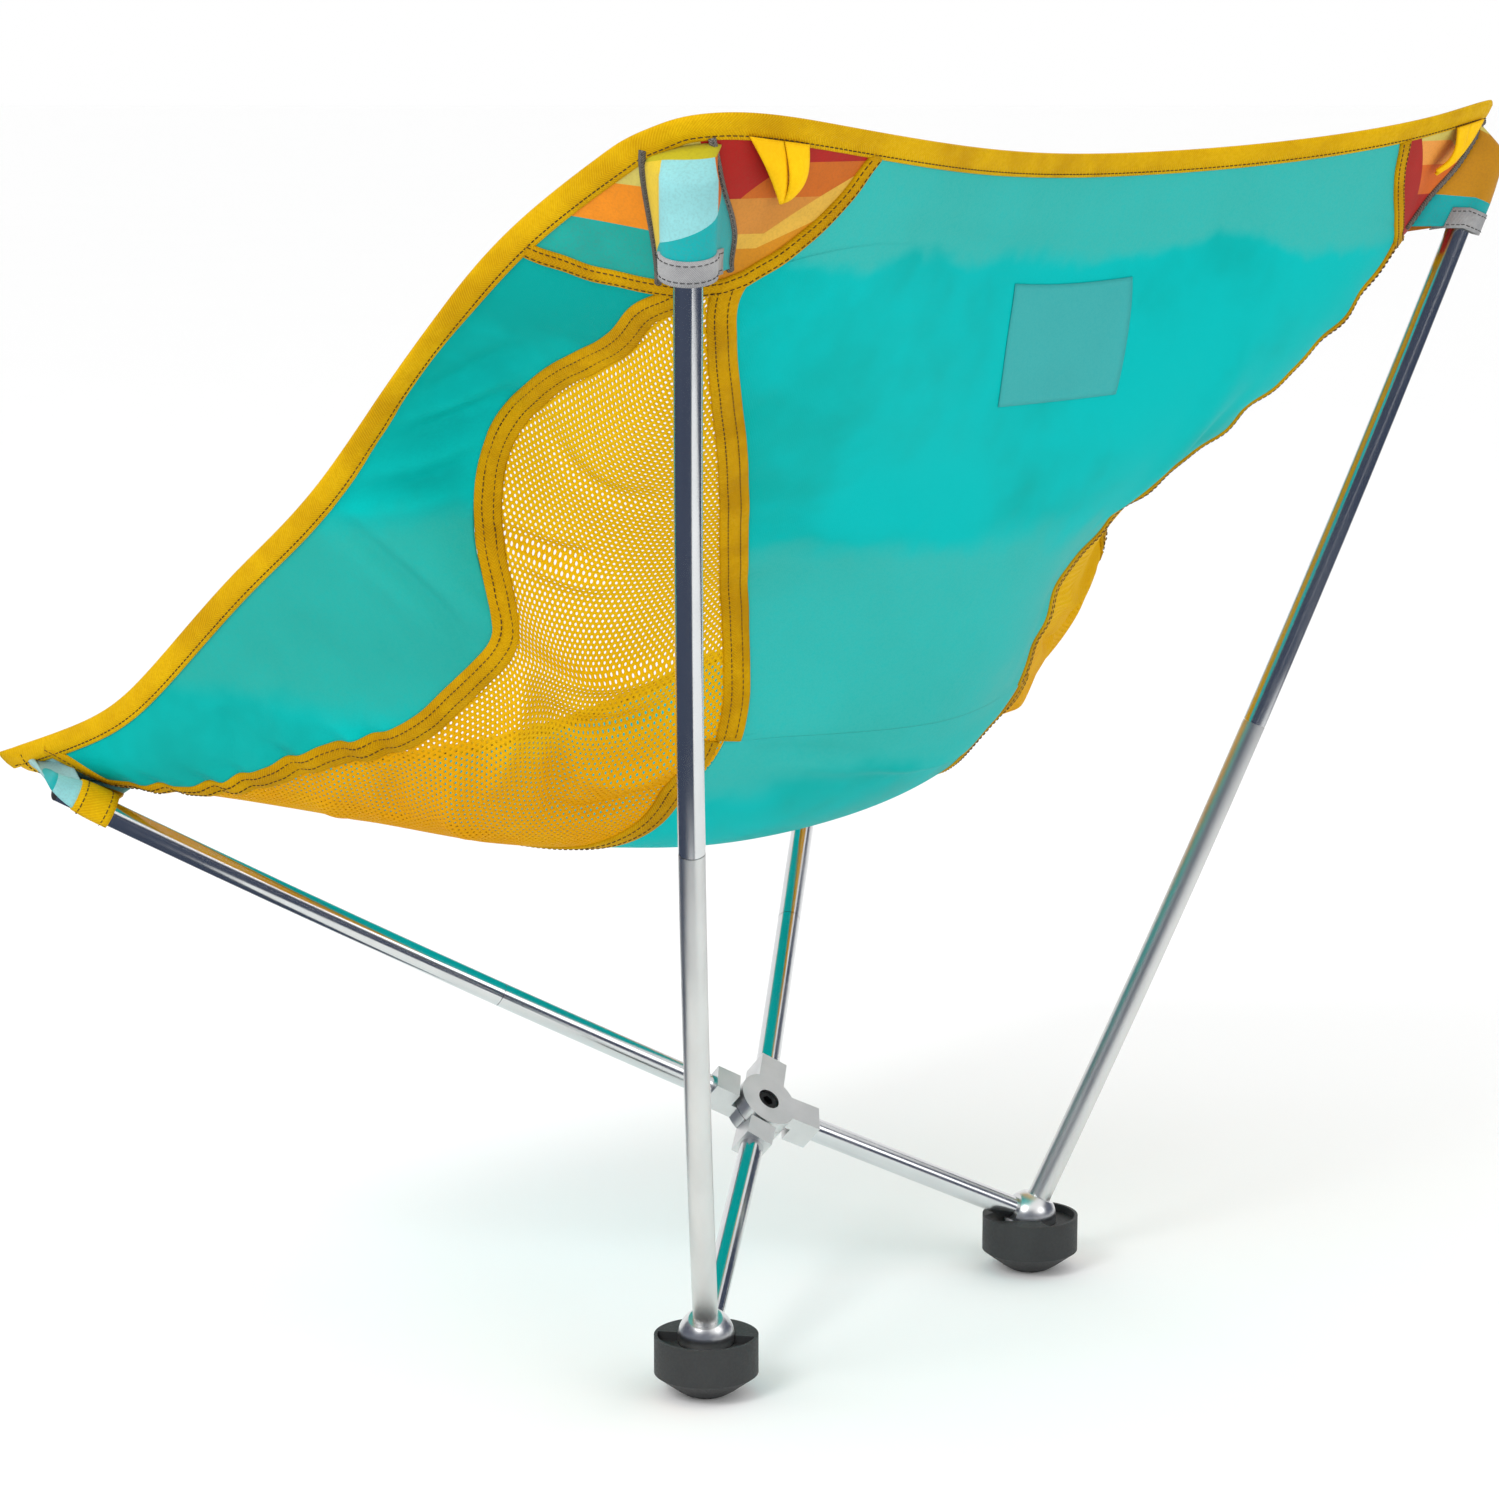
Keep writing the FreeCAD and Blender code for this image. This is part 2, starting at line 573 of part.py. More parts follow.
def surface_through(rows):
    """Smooth surface through a grid; its parameters are line and station numbers."""
    half = len(LENGTH_LINES) - 1
    across = [j / STEPS_PER_LINE - half for j in range(len(rows[0]))]
    along = [float(i) for i in range(len(rows))]
    row_curves = [spline_poles(row, across) for row in rows]
    column_curves = [spline_poles(column, along) for column in zip(*[curve.getPoles() for curve in row_curves])]
    surface = Part.BSplineSurface()
    surface.buildFromPolesMultsKnots([curve.getPoles() for curve in column_curves],
                                     row_curves[0].getMultiplicities(), column_curves[0].getMultiplicities(),
                                     row_curves[0].getKnots(), column_curves[0].getKnots(), False, False, 3, 3)
    return surface


def sling_surface(lift):
    """The sling's surface, lifted this far away from the sitter."""
    rows = sling_grid()
    base = surface_through(rows)
    half = len(LENGTH_LINES) - 1
    lifted = []
    for station, row in enumerate(rows):
        lifted.append([])
        for column, point in enumerate(row):
            line = column / STEPS_PER_LINE - half
            across = base.getDN(line, station, 1, 0)
            along = base.getDN(line, station, 0, 1)
            lifted[station].append(point + across.cross(along).normalize() * lift)
    return surface_through(lifted)


def wall_between(inner, outer, reach):
    """The strip of face that joins two matching curves over one reach of their parameter."""
    wall = Part.BSplineSurface()
    wall.buildFromPolesMultsKnots([inner.getPoles(), outer.getPoles()], (2, 2), inner.getMultiplicities(),
                                  (0.0, 1.0), inner.getKnots(), False, False, 1, 3)
    return wall.toShape(0.0, 1.0, *reach)


def cloth_patch(label, across, along, lift, thickness):
    """A thin solid that follows the sling between two line numbers and two station numbers."""
    inner = sling_surface(lift)
    outer = sling_surface(lift + thickness)
    faces = [surface.toShape(*across, *along) for surface in (inner, outer)]
    faces += [wall_between(inner.uIso(u), outer.uIso(u), along) for u in across]
    faces += [wall_between(inner.vIso(v), outer.vIso(v), across) for v in along]
    shell = Part.makeShell(faces)
    shell.sewShape()
    solid = Part.Solid(shell)
    if solid.Volume < 0:
        solid.reverse()
    patch = doc.addObject("Part::Feature", label)
    patch.Shape = solid
    return finish(patch, label, Placement())


def pull_loop(side_name, side):
    """Folded webbing tab that hangs from the top binding beside each rear pocket."""
    label = f"pull_loop_{side_name}"
    tab = bind(doc.addObject("Part::Box", label), Length="dims.loop_width", Width="dims.loop_thickness",
               Height="dims.loop_drop")
    corner = Vector(side * dim("loop_offset") - dim("loop_width") / 2, dim("feet_offset") + dim("loop_back"),
                    dim("loop_top") - dim("loop_drop"))
    doc.recompute()
    return finish(tab, label, Placement(corner, Rotation()))


def sling():
    layers = {"cloth": (0.0, dim("cloth")),
              "tape": (dim("tape_lift"), dim("tape")),
              "binding": (-dim("binding_inside"), dim("binding_thickness"))}
    for label, (across, along, layer) in WHOLE_PIECES.items():
        cloth_patch(label, across, along, *layers[layer])
    for name, side in SIDES.items():
        for piece, (across, along, layer) in SIDE_PIECES.items():
            reach = across if side > 0 else (-across[1], -across[0])
            cloth_patch(f"{piece}_{name}", reach, along, *layers[layer])
        pull_loop(name, side)


sling()
hub_plate("hub_upper_plate", SIDES["right"], upper=True)
hub_plate("hub_lower_plate", SIDES["left"], upper=False)
hub_fasteners()
for name, side in SIDES.items():
    pole_set(name, side)
    foot_ball(name, side)
    foot_shoe(name, side)
    pocket(name, side, "rear")
    pocket(name, side, "front")
doc.recompute()

for obj in doc.Objects:
    if "Invalid" in obj.State or "Error" in obj.State:
        raise RuntimeError(f"{obj.Name} failed: {obj.State}")
os.makedirs("parts", exist_ok=True)
for obj in subparts:
    if obj.Shape.isNull() or not obj.Shape.isValid():
        raise RuntimeError(f"{obj.Label} has no valid shape")
    obj.Shape.exportStep(os.path.join("parts", obj.Label + ".step"))
    print(f"{obj.Label:28s} {obj.Shape.Volume / 1000:9.2f} cm3")
print(len(subparts), "sub-parts")
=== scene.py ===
import math

import bpy
import numpy as np
from mathutils import Matrix, Vector, kdtree


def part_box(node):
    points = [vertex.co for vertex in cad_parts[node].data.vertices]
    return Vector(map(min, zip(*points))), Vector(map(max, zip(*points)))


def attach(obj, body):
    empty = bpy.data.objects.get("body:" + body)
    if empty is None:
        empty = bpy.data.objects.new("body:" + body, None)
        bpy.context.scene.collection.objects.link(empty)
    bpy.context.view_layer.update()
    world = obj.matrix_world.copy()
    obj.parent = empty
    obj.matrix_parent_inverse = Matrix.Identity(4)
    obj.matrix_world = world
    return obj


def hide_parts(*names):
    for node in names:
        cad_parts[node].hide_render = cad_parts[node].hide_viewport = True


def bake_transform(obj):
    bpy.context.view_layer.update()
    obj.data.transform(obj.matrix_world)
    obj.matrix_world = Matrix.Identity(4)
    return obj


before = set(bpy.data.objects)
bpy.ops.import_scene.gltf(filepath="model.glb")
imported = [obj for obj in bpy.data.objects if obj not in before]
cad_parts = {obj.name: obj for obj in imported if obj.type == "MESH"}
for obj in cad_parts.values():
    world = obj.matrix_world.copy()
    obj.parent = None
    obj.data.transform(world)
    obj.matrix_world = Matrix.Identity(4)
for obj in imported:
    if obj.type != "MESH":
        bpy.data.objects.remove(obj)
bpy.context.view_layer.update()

# ---------------------------------------------------------------- where things are
# Metres, in the CAD's frame. The sling's own coordinates are a line number u (0 middle, 1 panel seam,
# 3 strip seam, 4 outer edge, negative on the right) and a station number v (0 top edge, 10 front edge).

MM = 0.001
LEFT, RIGHT = 1, -1
SIDES = {"left": LEFT, "right": RIGHT}
LINES, STATIONS = 4, 10
FINE = 100                  # samples of the sling from one line or station to the next

low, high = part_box("foot_ball_left")
FEET_BACK = (low[1] + high[1]) / 2
REAR_MOUTH = np.array([0.2952, FEET_BACK + 0.139, 0.5387])
FRONT_MOUTH = np.array([0.268, FEET_BACK - 0.2571, 0.2678])

CENTRE_LINE = [(0, 138, 580), (0, 116, 531), (0, 104, 470), (0, 87, 412), (0, 66, 366), (0, 36, 312),
               (0, 0, 272), (0, -55, 245), (0, -125, 233), (0, -205, 240), (0, -283, 262)]
PANEL_SEAM = [(236, 166, 596), (257, 124, 530), (215, 91, 468), (160, 48, 413), (126, 18, 368), (114, 0, 313),
              (119, -31, 279), (129, -66, 256), (150, -130, 257), (190, -210, 270), (215, -306, 280)]
MESH_MIDDLE = [(268, 163, 600), (264, 118, 527), (240, 62, 466), (207, 14, 418), (185, -10, 367), (168, -24, 317),
               (174, -51, 288), (188, -88, 271), (204, -142, 271), (226, -212, 274), (245, -312, 282)]
STRIP_SEAM = [(299, 152, 601), (270, 109, 527), (251, 20, 486), (240, -29, 449), (236, -39, 408), (229, -33, 372),
              (226, -55, 343), (230, -95, 318), (241, -145, 305), (252, -210, 284), (268, -318, 283)]
OUTER_EDGE = [(312, 132, 597), (303, 52, 555), (299, 0, 514), (293, -42, 477), (287, -80, 443), (283, -115, 416),
              (281, -150, 391), (278, -190, 360), (275, -228, 331), (274, -265, 311), (278, -318, 292)]


def smooth(t):
    t = np.clip(t, 0.0, 1.0)
    return t * t * (3 - 2 * t)


def unit(vectors):
    vectors = np.asarray(vectors, float)
    return vectors / np.maximum(np.linalg.norm(vectors, axis=-1, keepdims=True), 1e-12)


def distances(points):
    """How far along a line each of its points lies."""
    return np.r_[0, np.cumsum(np.linalg.norm(np.diff(points, axis=0), axis=1))]


def from_column(points, middle):
    """Each grid point's distance along its row from the middle column, negative before it."""
    reach = np.pad(np.cumsum(np.linalg.norm(np.diff(points, axis=1), axis=-1), 1), ((0, 0), (1, 0)))
    return reach - reach[:, [middle]]


def between_knots(at, knots, values):
    """Rows of values at any positions, straight from one knot to the next."""
    return np.stack([np.interp(at, knots, column) for column in values.T], -1)


# ---------------------------------------------------------------- the sling's surface


def spline(knots, values, at):
    """Natural cubic spline through rows of values, at any positions."""
    count = len(knots)
    step = np.diff(knots)
    system = np.eye(count)
    right = np.zeros_like(values, dtype=float)
    for i in range(1, count - 1):
        system[i, i - 1:i + 2] = step[i - 1], 2 * (step[i - 1] + step[i]), step[i]
        right[i] = 6 * ((values[i + 1] - values[i]) / step[i] - (values[i] - values[i - 1]) / step[i - 1])
    bend = np.linalg.solve(system, right)
    i = np.clip(np.searchsorted(knots, at) - 1, 0, count - 2)
    width = step[i][:, None]
    b = ((at - knots[i]) / step[i])[:, None]
    a = 1 - b
    curve = (a ** 3 - a) * bend[i] + (b ** 3 - b) * bend[i + 1]
    return a * values[i] + b * values[i + 1] + curve * width ** 2 / 6


def sling_row(points, lines):
    """One station's curve at these line numbers, evenly eased between one line and the next."""
    length = np.linalg.norm(np.diff(points, axis=0), axis=1)
    reached = np.r_[0, np.cumsum(length)]
    slope = np.r_[length[0], 2 * length[1:] * length[:-1] / (length[1:] + length[:-1]), length[-1]]
    i = np.clip(np.floor(lines + LINES).astype(int), 0, len(length) - 1)
    t = lines + LINES - i
    along = reached[i] + t * t * (3 - 2 * t) * length[i]
    along += t * (1 - t) ** 2 * slope[i] + t * t * (t - 1) * slope[i + 1]
    return spline(reached, points, along)


def surface_normals(points):
    across = np.gradient(points, axis=1)
    along = np.gradient(points, axis=0)
    return unit(np.cross(across, along))


def sling_table():
    left = [np.array(line, float) * MM + [0, FEET_BACK, 0]
            for line in (CENTRE_LINE, PANEL_SEAM, MESH_MIDDLE, STRIP_SEAM, OUTER_EDGE)]
    grid = np.stack([line * [-1, 1, 1] for line in left[:0:-1]] + left, 1)
    rows = np.stack([sling_row(points, U_FINE) for points in grid])
    stations = np.arange(STATIONS + 1.0)
    return spline(stations, rows.reshape(len(rows), -1), V_FINE).reshape(len(V_FINE), len(U_FINE), 3)


U_FINE = np.linspace(-LINES, LINES, 2 * LINES * FINE + 1)
V_FINE = np.linspace(0, STATIONS, STATIONS * FINE + 1)
SLING = sling_table()
OUTWARD = surface_normals(SLING)


def look_up(table, u, v):
    x = np.clip((np.asarray(u, float) + LINES) * FINE, 0, len(U_FINE) - 1.0001)
    y = np.clip(np.asarray(v, float) * FINE, 0, len(V_FINE) - 1.0001)
    j, i = np.floor(x).astype(int), np.floor(y).astype(int)
    s, t = (x - j)[..., None], (y - i)[..., None]
    upper = table[i, j] * (1 - s) + table[i, j + 1] * s
    lower = table[i + 1, j] * (1 - s) + table[i + 1, j + 1] * s
    return upper * (1 - t) + lower * t


def on_sling(u, v, lift=0.0):
    return look_up(SLING, u, v) + unit(look_up(OUTWARD, u, v)) * np.asarray(lift)[..., None]


def normal_at(u, v):
    return unit(look_up(OUTWARD, u, v))


def walk(u, v, direction, distance):
    """(u, v) after going this far over the sling in a direction given in space."""
    u, v = np.array(u, float), np.array(v, float)
    nudge, steps = 0.01, 4
    for _ in range(steps):
        across = (on_sling(u + nudge, v) - on_sling(u - nudge, v)) / (
            np.clip(u + nudge, -LINES, LINES) - np.clip(u - nudge, -LINES, LINES))[..., None]
        along = (on_sling(u, v + nudge) - on_sling(u, v - nudge)) / (
            np.clip(v + nudge, 0, STATIONS) - np.clip(v - nudge, 0, STATIONS))[..., None]
        aa, ab, bb = (np.sum(p * q, -1) for p, q in ((across, across), (across, along), (along, along)))
        da, db = np.sum(across * direction, -1), np.sum(along * direction, -1)
        size = aa * bb - ab * ab
        hop = distance / steps
        u = np.clip(u + hop * (da * bb - db * ab) / size, -LINES, LINES)
        v = np.clip(v + hop * (db * aa - da * ab) / size, 0, STATIONS)
    return u, v


# ---------------------------------------------------------------- creases and puckers in the cloth


def crease(points, width, height):
    """Raises (or sinks) the sling along a line given in sling coordinates, fading at its ends."""
    route = np.array(points, float)
    t = np.linspace(0, 1, 24)
    dense = spline(np.linspace(0, 1, len(route)), route, t)
    line = look_up(SLING, *dense.T)
    # only the part of the sling within this many lines and stations of the crease is worked on
    (low_u, low_v), (high_u, high_v) = dense.min(0) - (0.6, 1.0), dense.max(0) + (0.6, 1.0)
    block = np.ix_((V_FINE > low_v) & (V_FINE < high_v), (U_FINE > low_u) & (U_FINE < high_u))
    near = np.full(RELIEF[block].shape, 1e9)
    strength = np.zeros_like(near)
    for a, b, start in zip(line, line[1:], t):
        along = b - a
        k = np.clip(((SLING[block] - a) @ along) / (along @ along), 0, 1)
        gap = np.linalg.norm(SLING[block] - a - k[..., None] * along, axis=-1)
        closer = gap < near
        near[closer] = gap[closer]
        strength[closer] = np.sin(np.pi * np.clip(start + k * t[1], 0.02, 0.98))[closer] ** 0.7
    RELIEF[block] += height * strength * np.exp(-(near / width) ** 2)


def mirrored_crease(points, width, height):
    """The same crease on both sides, a little weaker on the right."""
    crease(points, width, height)
    crease([(-u, v) for u, v in points], width, height * 0.8)


def puckers(line, start, end, period, height, reach, phase=0.0):
    """Small waves that run along a seam line and die away across it."""
    seam = look_up(SLING, np.full_like(V_FINE, line), V_FINE)
    turn = 2 * np.pi * np.cumsum(np.linalg.norm(np.gradient(seam, axis=0), axis=1)) / period
    wave = np.sin(turn + phase) + 0.5 * np.sin(turn / 0.63 + 2 * phase)
    fade = smooth((V_FINE - start) / 0.5) * smooth((end - V_FINE) / 0.5)
    away = np.linalg.norm(SLING - seam[:, None], axis=-1)
    RELIEF[:] += (height * wave * fade)[:, None] * np.exp(-(away / reach) ** 2)


UNCREASED = SLING
RELIEF = np.zeros(SLING.shape[:2])
puckers(1.0, 1.0, 5.0, 0.043, 0.0004, 0.022)
puckers(-1.0, 1.0, 5.0, 0.043, 0.0010, 0.022, 1.7)
for side in SIDES.values():
    puckers(side * 3.0, 1.2, 9.3, 0.034, 0.0005, 0.016, 2.0)
    puckers(side * 3.0, 6.6, 9.6, 0.026, 0.0013, 0.013, 0.5)
# each crease: its line, its half width and its height, in metres. First the back panel's soft pulls, from the
# top corners and from the middle down to the side seams
for points, width, height in (
        ([(0.95, 1.3), (0.75, 2.2), (0.45, 3.2)], 0.022, -0.0051),
        ([(0.9, 1.9), (0.6, 2.9), (0.35, 4.0)], 0.016, 0.0033),
        ([(0.7, 0.5), (0.35, 0.62), (0.0, 0.66)], 0.012, 0.0030),
        ([(0.5, 0.85), (0.1, 1.0), (-0.3, 1.0)], 0.014, -0.0024),
        ([(-0.45, 1.7), (-0.55, 2.5), (-0.75, 3.3)], 0.014, 0.0036),
        ([(-0.6, 2.0), (-0.75, 2.7), (-0.93, 3.2)], 0.010, -0.0027),
        ([(0.15, 4.2), (-0.25, 4.5), (-0.8, 4.6)], 0.013, 0.0030),
        ([(0.85, 4.1), (0.5, 4.6), (0.0, 4.75)], 0.013, -0.0030),
        ([(0.6, 5.35), (0.15, 5.5), (-0.6, 5.55)], 0.007, 0.0060),
        ([(0.9, 5.2), (0.5, 5.3), (0.05, 5.7)], 0.007, -0.0039),
        ([(-0.9, 5.1), (-0.5, 5.4), (-0.05, 5.6)], 0.008, 0.0030)):
    crease(points, width, height)
# then the side strip's folds and long pulls, and the mesh panel's gathers
for points, width, height in (
        ([(3.80, 2.85), (3.55, 2.38), (3.47, 2.1), (3.42, 1.7)], 0.0062, -0.0022),
        ([(3.85, 3.15), (3.52, 2.66), (3.35, 2.36), (3.22, 1.85)], 0.0062, 0.0028),
        ([(3.85, 3.50), (3.45, 2.91), (3.23, 2.56), (3.05, 2.1)], 0.0062, -0.0028),
        ([(3.85, 3.85), (3.39, 3.21), (3.05, 2.7)], 0.0062, 0.0028),
        ([(3.85, 4.20), (3.40, 3.55), (3.02, 3.03)], 0.0062, -0.0026),
        ([(3.85, 4.50), (3.40, 3.81), (3.02, 3.3)], 0.0055, 0.0022),
        ([(3.85, 4.4), (3.5, 5.0), (3.1, 5.6)], 0.0045, -0.0036),
        ([(3.8, 4.8), (3.45, 5.4), (3.1, 6.0)], 0.010, 0.0032),
        ([(3.75, 6.2), (3.5, 6.7), (3.1, 7.2)], 0.012, -0.0026),
        ([(3.7, 7.2), (3.4, 7.7), (3.1, 8.1)], 0.008, 0.0028),
        ([(3.6, 7.9), (3.4, 8.3), (3.1, 8.8)], 0.008, -0.0026),
        ([(2.85, 3.55), (2.45, 3.45), (2.1, 3.25)], 0.0045, -0.0046),
        ([(2.8, 3.72), (2.4, 3.62), (1.9, 3.5)], 0.0045, 0.0040),
        ([(2.7, 2.3), (2.2, 2.6), (1.5, 2.5)], 0.0070, -0.0026),
        ([(2.8, 4.9), (2.1, 4.45), (1.2, 4.2)], 0.0050, 0.0056),
        ([(2.7, 5.3), (2.0, 4.85), (1.25, 4.5)], 0.0050, -0.0050),
        ([(2.85, 5.1), (2.6, 5.9), (2.3, 6.6)], 0.0060, 0.0060),
        ([(2.6, 5.0), (2.2, 5.7), (1.8, 6.3)], 0.0070, -0.0052),
        ([(1.2, 5.1), (1.6, 5.5), (2.1, 5.5)], 0.0070, 0.0056),
        ([(1.15, 5.6), (1.5, 6.1), (2.0, 6.2)], 0.0060, -0.0044),
        ([(2.7, 6.6), (2.2, 7.1), (1.7, 7.3)], 0.0080, 0.0044),
        ([(2.8, 7.2), (2.4, 7.6), (2.0, 7.7)], 0.0070, -0.0036),
        ([(2.8, 7.8), (2.3, 8.2), (1.8, 8.3)], 0.0080, 0.0034)):
    mirrored_crease(points, width, height)
SLING = SLING + OUTWARD * RELIEF[..., None]
OUTWARD = surface_normals(SLING)

# ---------------------------------------------------------------- meshes


def link(name, data):
    """A new object in the scene, for a mesh, a light or a camera."""
    obj = bpy.data.objects.new(name, data)
    bpy.context.collection.objects.link(obj)
    return obj


def make_mesh(name, points, faces, coords, materials, kinds=None):
    """A smooth-shaded mesh object. coords gives each point's place on the cloth, in metres, as a UV map."""
    data = bpy.data.meshes.new(name)
    data.from_pydata([tuple(p) for p in points], [], faces)
    corners = np.empty(len(data.loops), int)
    data.loops.foreach_get("vertex_index", corners)
    layer = data.uv_layers.new(name="cloth")
    layer.data.foreach_set("uv", np.asarray(coords, float)[corners].ravel())
    for material in materials:
        data.materials.append(material)
    if kinds is not None:
        data.polygons.foreach_set("material_index", np.asarray(kinds, int))
    data.polygons.foreach_set("use_smooth", np.ones(len(data.polygons), bool))
    data.update()
    return link(name, data)


STITCH_PITCH, STITCH_LENGTH = 2.9 * MM, 2.1 * MM
STITCH_WIDTH, STITCH_RISE, STITCH_SINK = 0.62 * MM, 0.42 * MM, 0.15 * MM


class Build:
    """Collects parts of one mesh."""

    def __init__(self):
        self.points, self.faces, self.coords, self.kinds = [], [], [], []

    def add(self, points, faces, coords, kind=0):
        """kind is the number of the faces' material: 0 the cloth, 1 its thread or its lining."""
        base = len(self.points)
        self.points.extend(np.asarray(points, float).reshape(-1, 3))
        self.coords.extend(np.asarray(coords, float).reshape(-1, 2))
        self.faces.extend(tuple(base + int(i) for i in face) for face in faces)
        self.kinds.extend([kind] * len(faces))
        return base

    def shell(self, inner, outer, coords, inner_kind=0):
        """Closed thin shell between two matching grids of points; outer faces the grid's own normal."""
        n, m = inner.shape[:2]
        index = np.arange(n * m).reshape(n, m)
        a, b, c, d = index[:-1, :-1], index[:-1, 1:], index[1:, 1:], index[1:, :-1]
        outer_faces = np.stack([a, b, c, d], -1).reshape(-1, 4)
        border = np.concatenate([index[0, :], index[1:, -1], index[-1, -2::-1], index[-2:0:-1, 0]])
        after = np.roll(border, -1)
        inner_faces = outer_faces[:, ::-1] + n * m
        walls = np.stack([after, border, border + n * m, after + n * m], -1)
        points = np.concatenate([outer.reshape(-1, 3), inner.reshape(-1, 3)])
        base = self.add(points, [], np.tile(coords.reshape(-1, 2), (2, 1)))
        for faces, kind in ((outer_faces, 0), (inner_faces, inner_kind), (walls, 0)):
            self.faces.extend(map(tuple, (faces + base).tolist()))
            self.kinds.extend([kind] * len(faces))

    def sweep(self, sections, coords):
        """Closed tube through rows of matching section points, capped at both ends."""
        n, m = sections.shape[:2]
        index = np.arange(n * m).reshape(n, m)
        nxt = np.roll(index, -1, 1)
        faces = [(index[i, j], nxt[i, j], nxt[i + 1, j], index[i + 1, j])
                 for i in range(n - 1) for j in range(m)]
        faces += [tuple(index[0, ::-1]), tuple(index[-1])]
        self.add(sections, faces, coords)

    def stitches(self, points, normals):
        """Low ridges of thread along a line of points, one per stitch."""
        reached = distances(points)
        middles = np.arange(STITCH_PITCH / 2, reached[-1] - STITCH_PITCH / 2, STITCH_PITCH)
        at = between_knots(middles, reached, points)
        along = unit(between_knots(middles + 0.4 * MM, reached, points) - at)
        up = unit(between_knots(middles, reached, normals))
        half, side = along * STITCH_LENGTH / 2, np.cross(up, along) * STITCH_WIDTH / 2
        foot, ridge = at - up * STITCH_SINK, at + up * STITCH_RISE
        points = np.stack([foot - half - side, foot - half + side, foot + half + side, foot + half - side,
                           ridge - half * 0.7, ridge + half * 0.7], 1)
        shape = [(0, 1, 2, 3), (4, 5, 2, 1), (5, 4, 0, 3), (4, 1, 0), (5, 3, 2)]
        faces = [tuple(6 * i + c for c in face) for i in range(len(points)) for face in shape]
        self.add(points, faces, np.zeros((len(points) * 6, 2)), kind=1)

    def object(self, name, materials):
        return make_mesh(name, self.points, self.faces, self.coords, materials, self.kinds)


def cloth_coords(points):
    """Each grid point's distance across and along the cloth, from the grid's middle column and first row."""
    middle = points.shape[1] // 2
    along = distances(points[:, middle])[:, None]
    return np.stack(np.broadcast_arrays(from_column(points, middle), along), -1)


class Route:
    """A line over the sling, resampled at an even spacing, with its direction and its left-hand side."""

    SPACING = 3.0 * MM

    def __init__(self, points):
        points = np.array(points, float)
        reached = distances(on_sling(*points.T))
        dense = spline(reached, points, np.linspace(0, reached[-1], 40 * len(points)))
        dense = np.clip(dense, (-LINES, 0), (LINES, STATIONS))
        reached = distances(on_sling(*dense.T))
        self.s = np.linspace(0, reached[-1], max(3, int(round(reached[-1] / self.SPACING)) + 1))
        self.u, self.v = between_knots(self.s, reached, dense).T
        along = unit(np.gradient(on_sling(self.u, self.v), axis=0))
        self.side = unit(np.cross(normal_at(self.u, self.v), along))

    def offset(self, distance, lift):
        """Points beside the route on the sling, at a lift from its surface, and the normals there."""
        u, v = self.u, self.v
        if distance:
            u, v = walk(u, v, self.side * np.sign(distance), abs(distance))
        return on_sling(u, v, lift), normal_at(u, v)


def seam_tape(build, points, width, stitch_lines, outer=1.5 * MM, inner=-0.9 * MM, inside_stitches=True):
    """Flat tape over a seam, on both faces of the cloth, with its rows of stitches."""
    route = Route(points)
    edge, soft = width / 2, 0.9 * MM
    ring = [(-edge, outer - 0.5 * MM), (-edge + soft, outer), (0.0, outer + 0.12 * MM), (edge - soft, outer),
            (edge, outer - 0.5 * MM), (edge, inner + 0.4 * MM), (edge - soft, inner), (0.0, inner - 0.1 * MM),
            (-edge + soft, inner), (-edge, inner + 0.4 * MM)]
    sections = np.stack([route.offset(d, h)[0] for d, h in ring], 1)
    coords = np.stack([np.stack([route.s, np.full_like(route.s, d)], -1) for d, _ in ring], 1)
    build.sweep(sections, coords)
    for d in stitch_lines:
        build.stitches(*route.offset(d, outer + 0.05 * MM))
        if inside_stitches:
            place, up = route.offset(d, inner - 0.05 * MM)
            build.stitches(place, -up)


# ---------------------------------------------------------------- materials


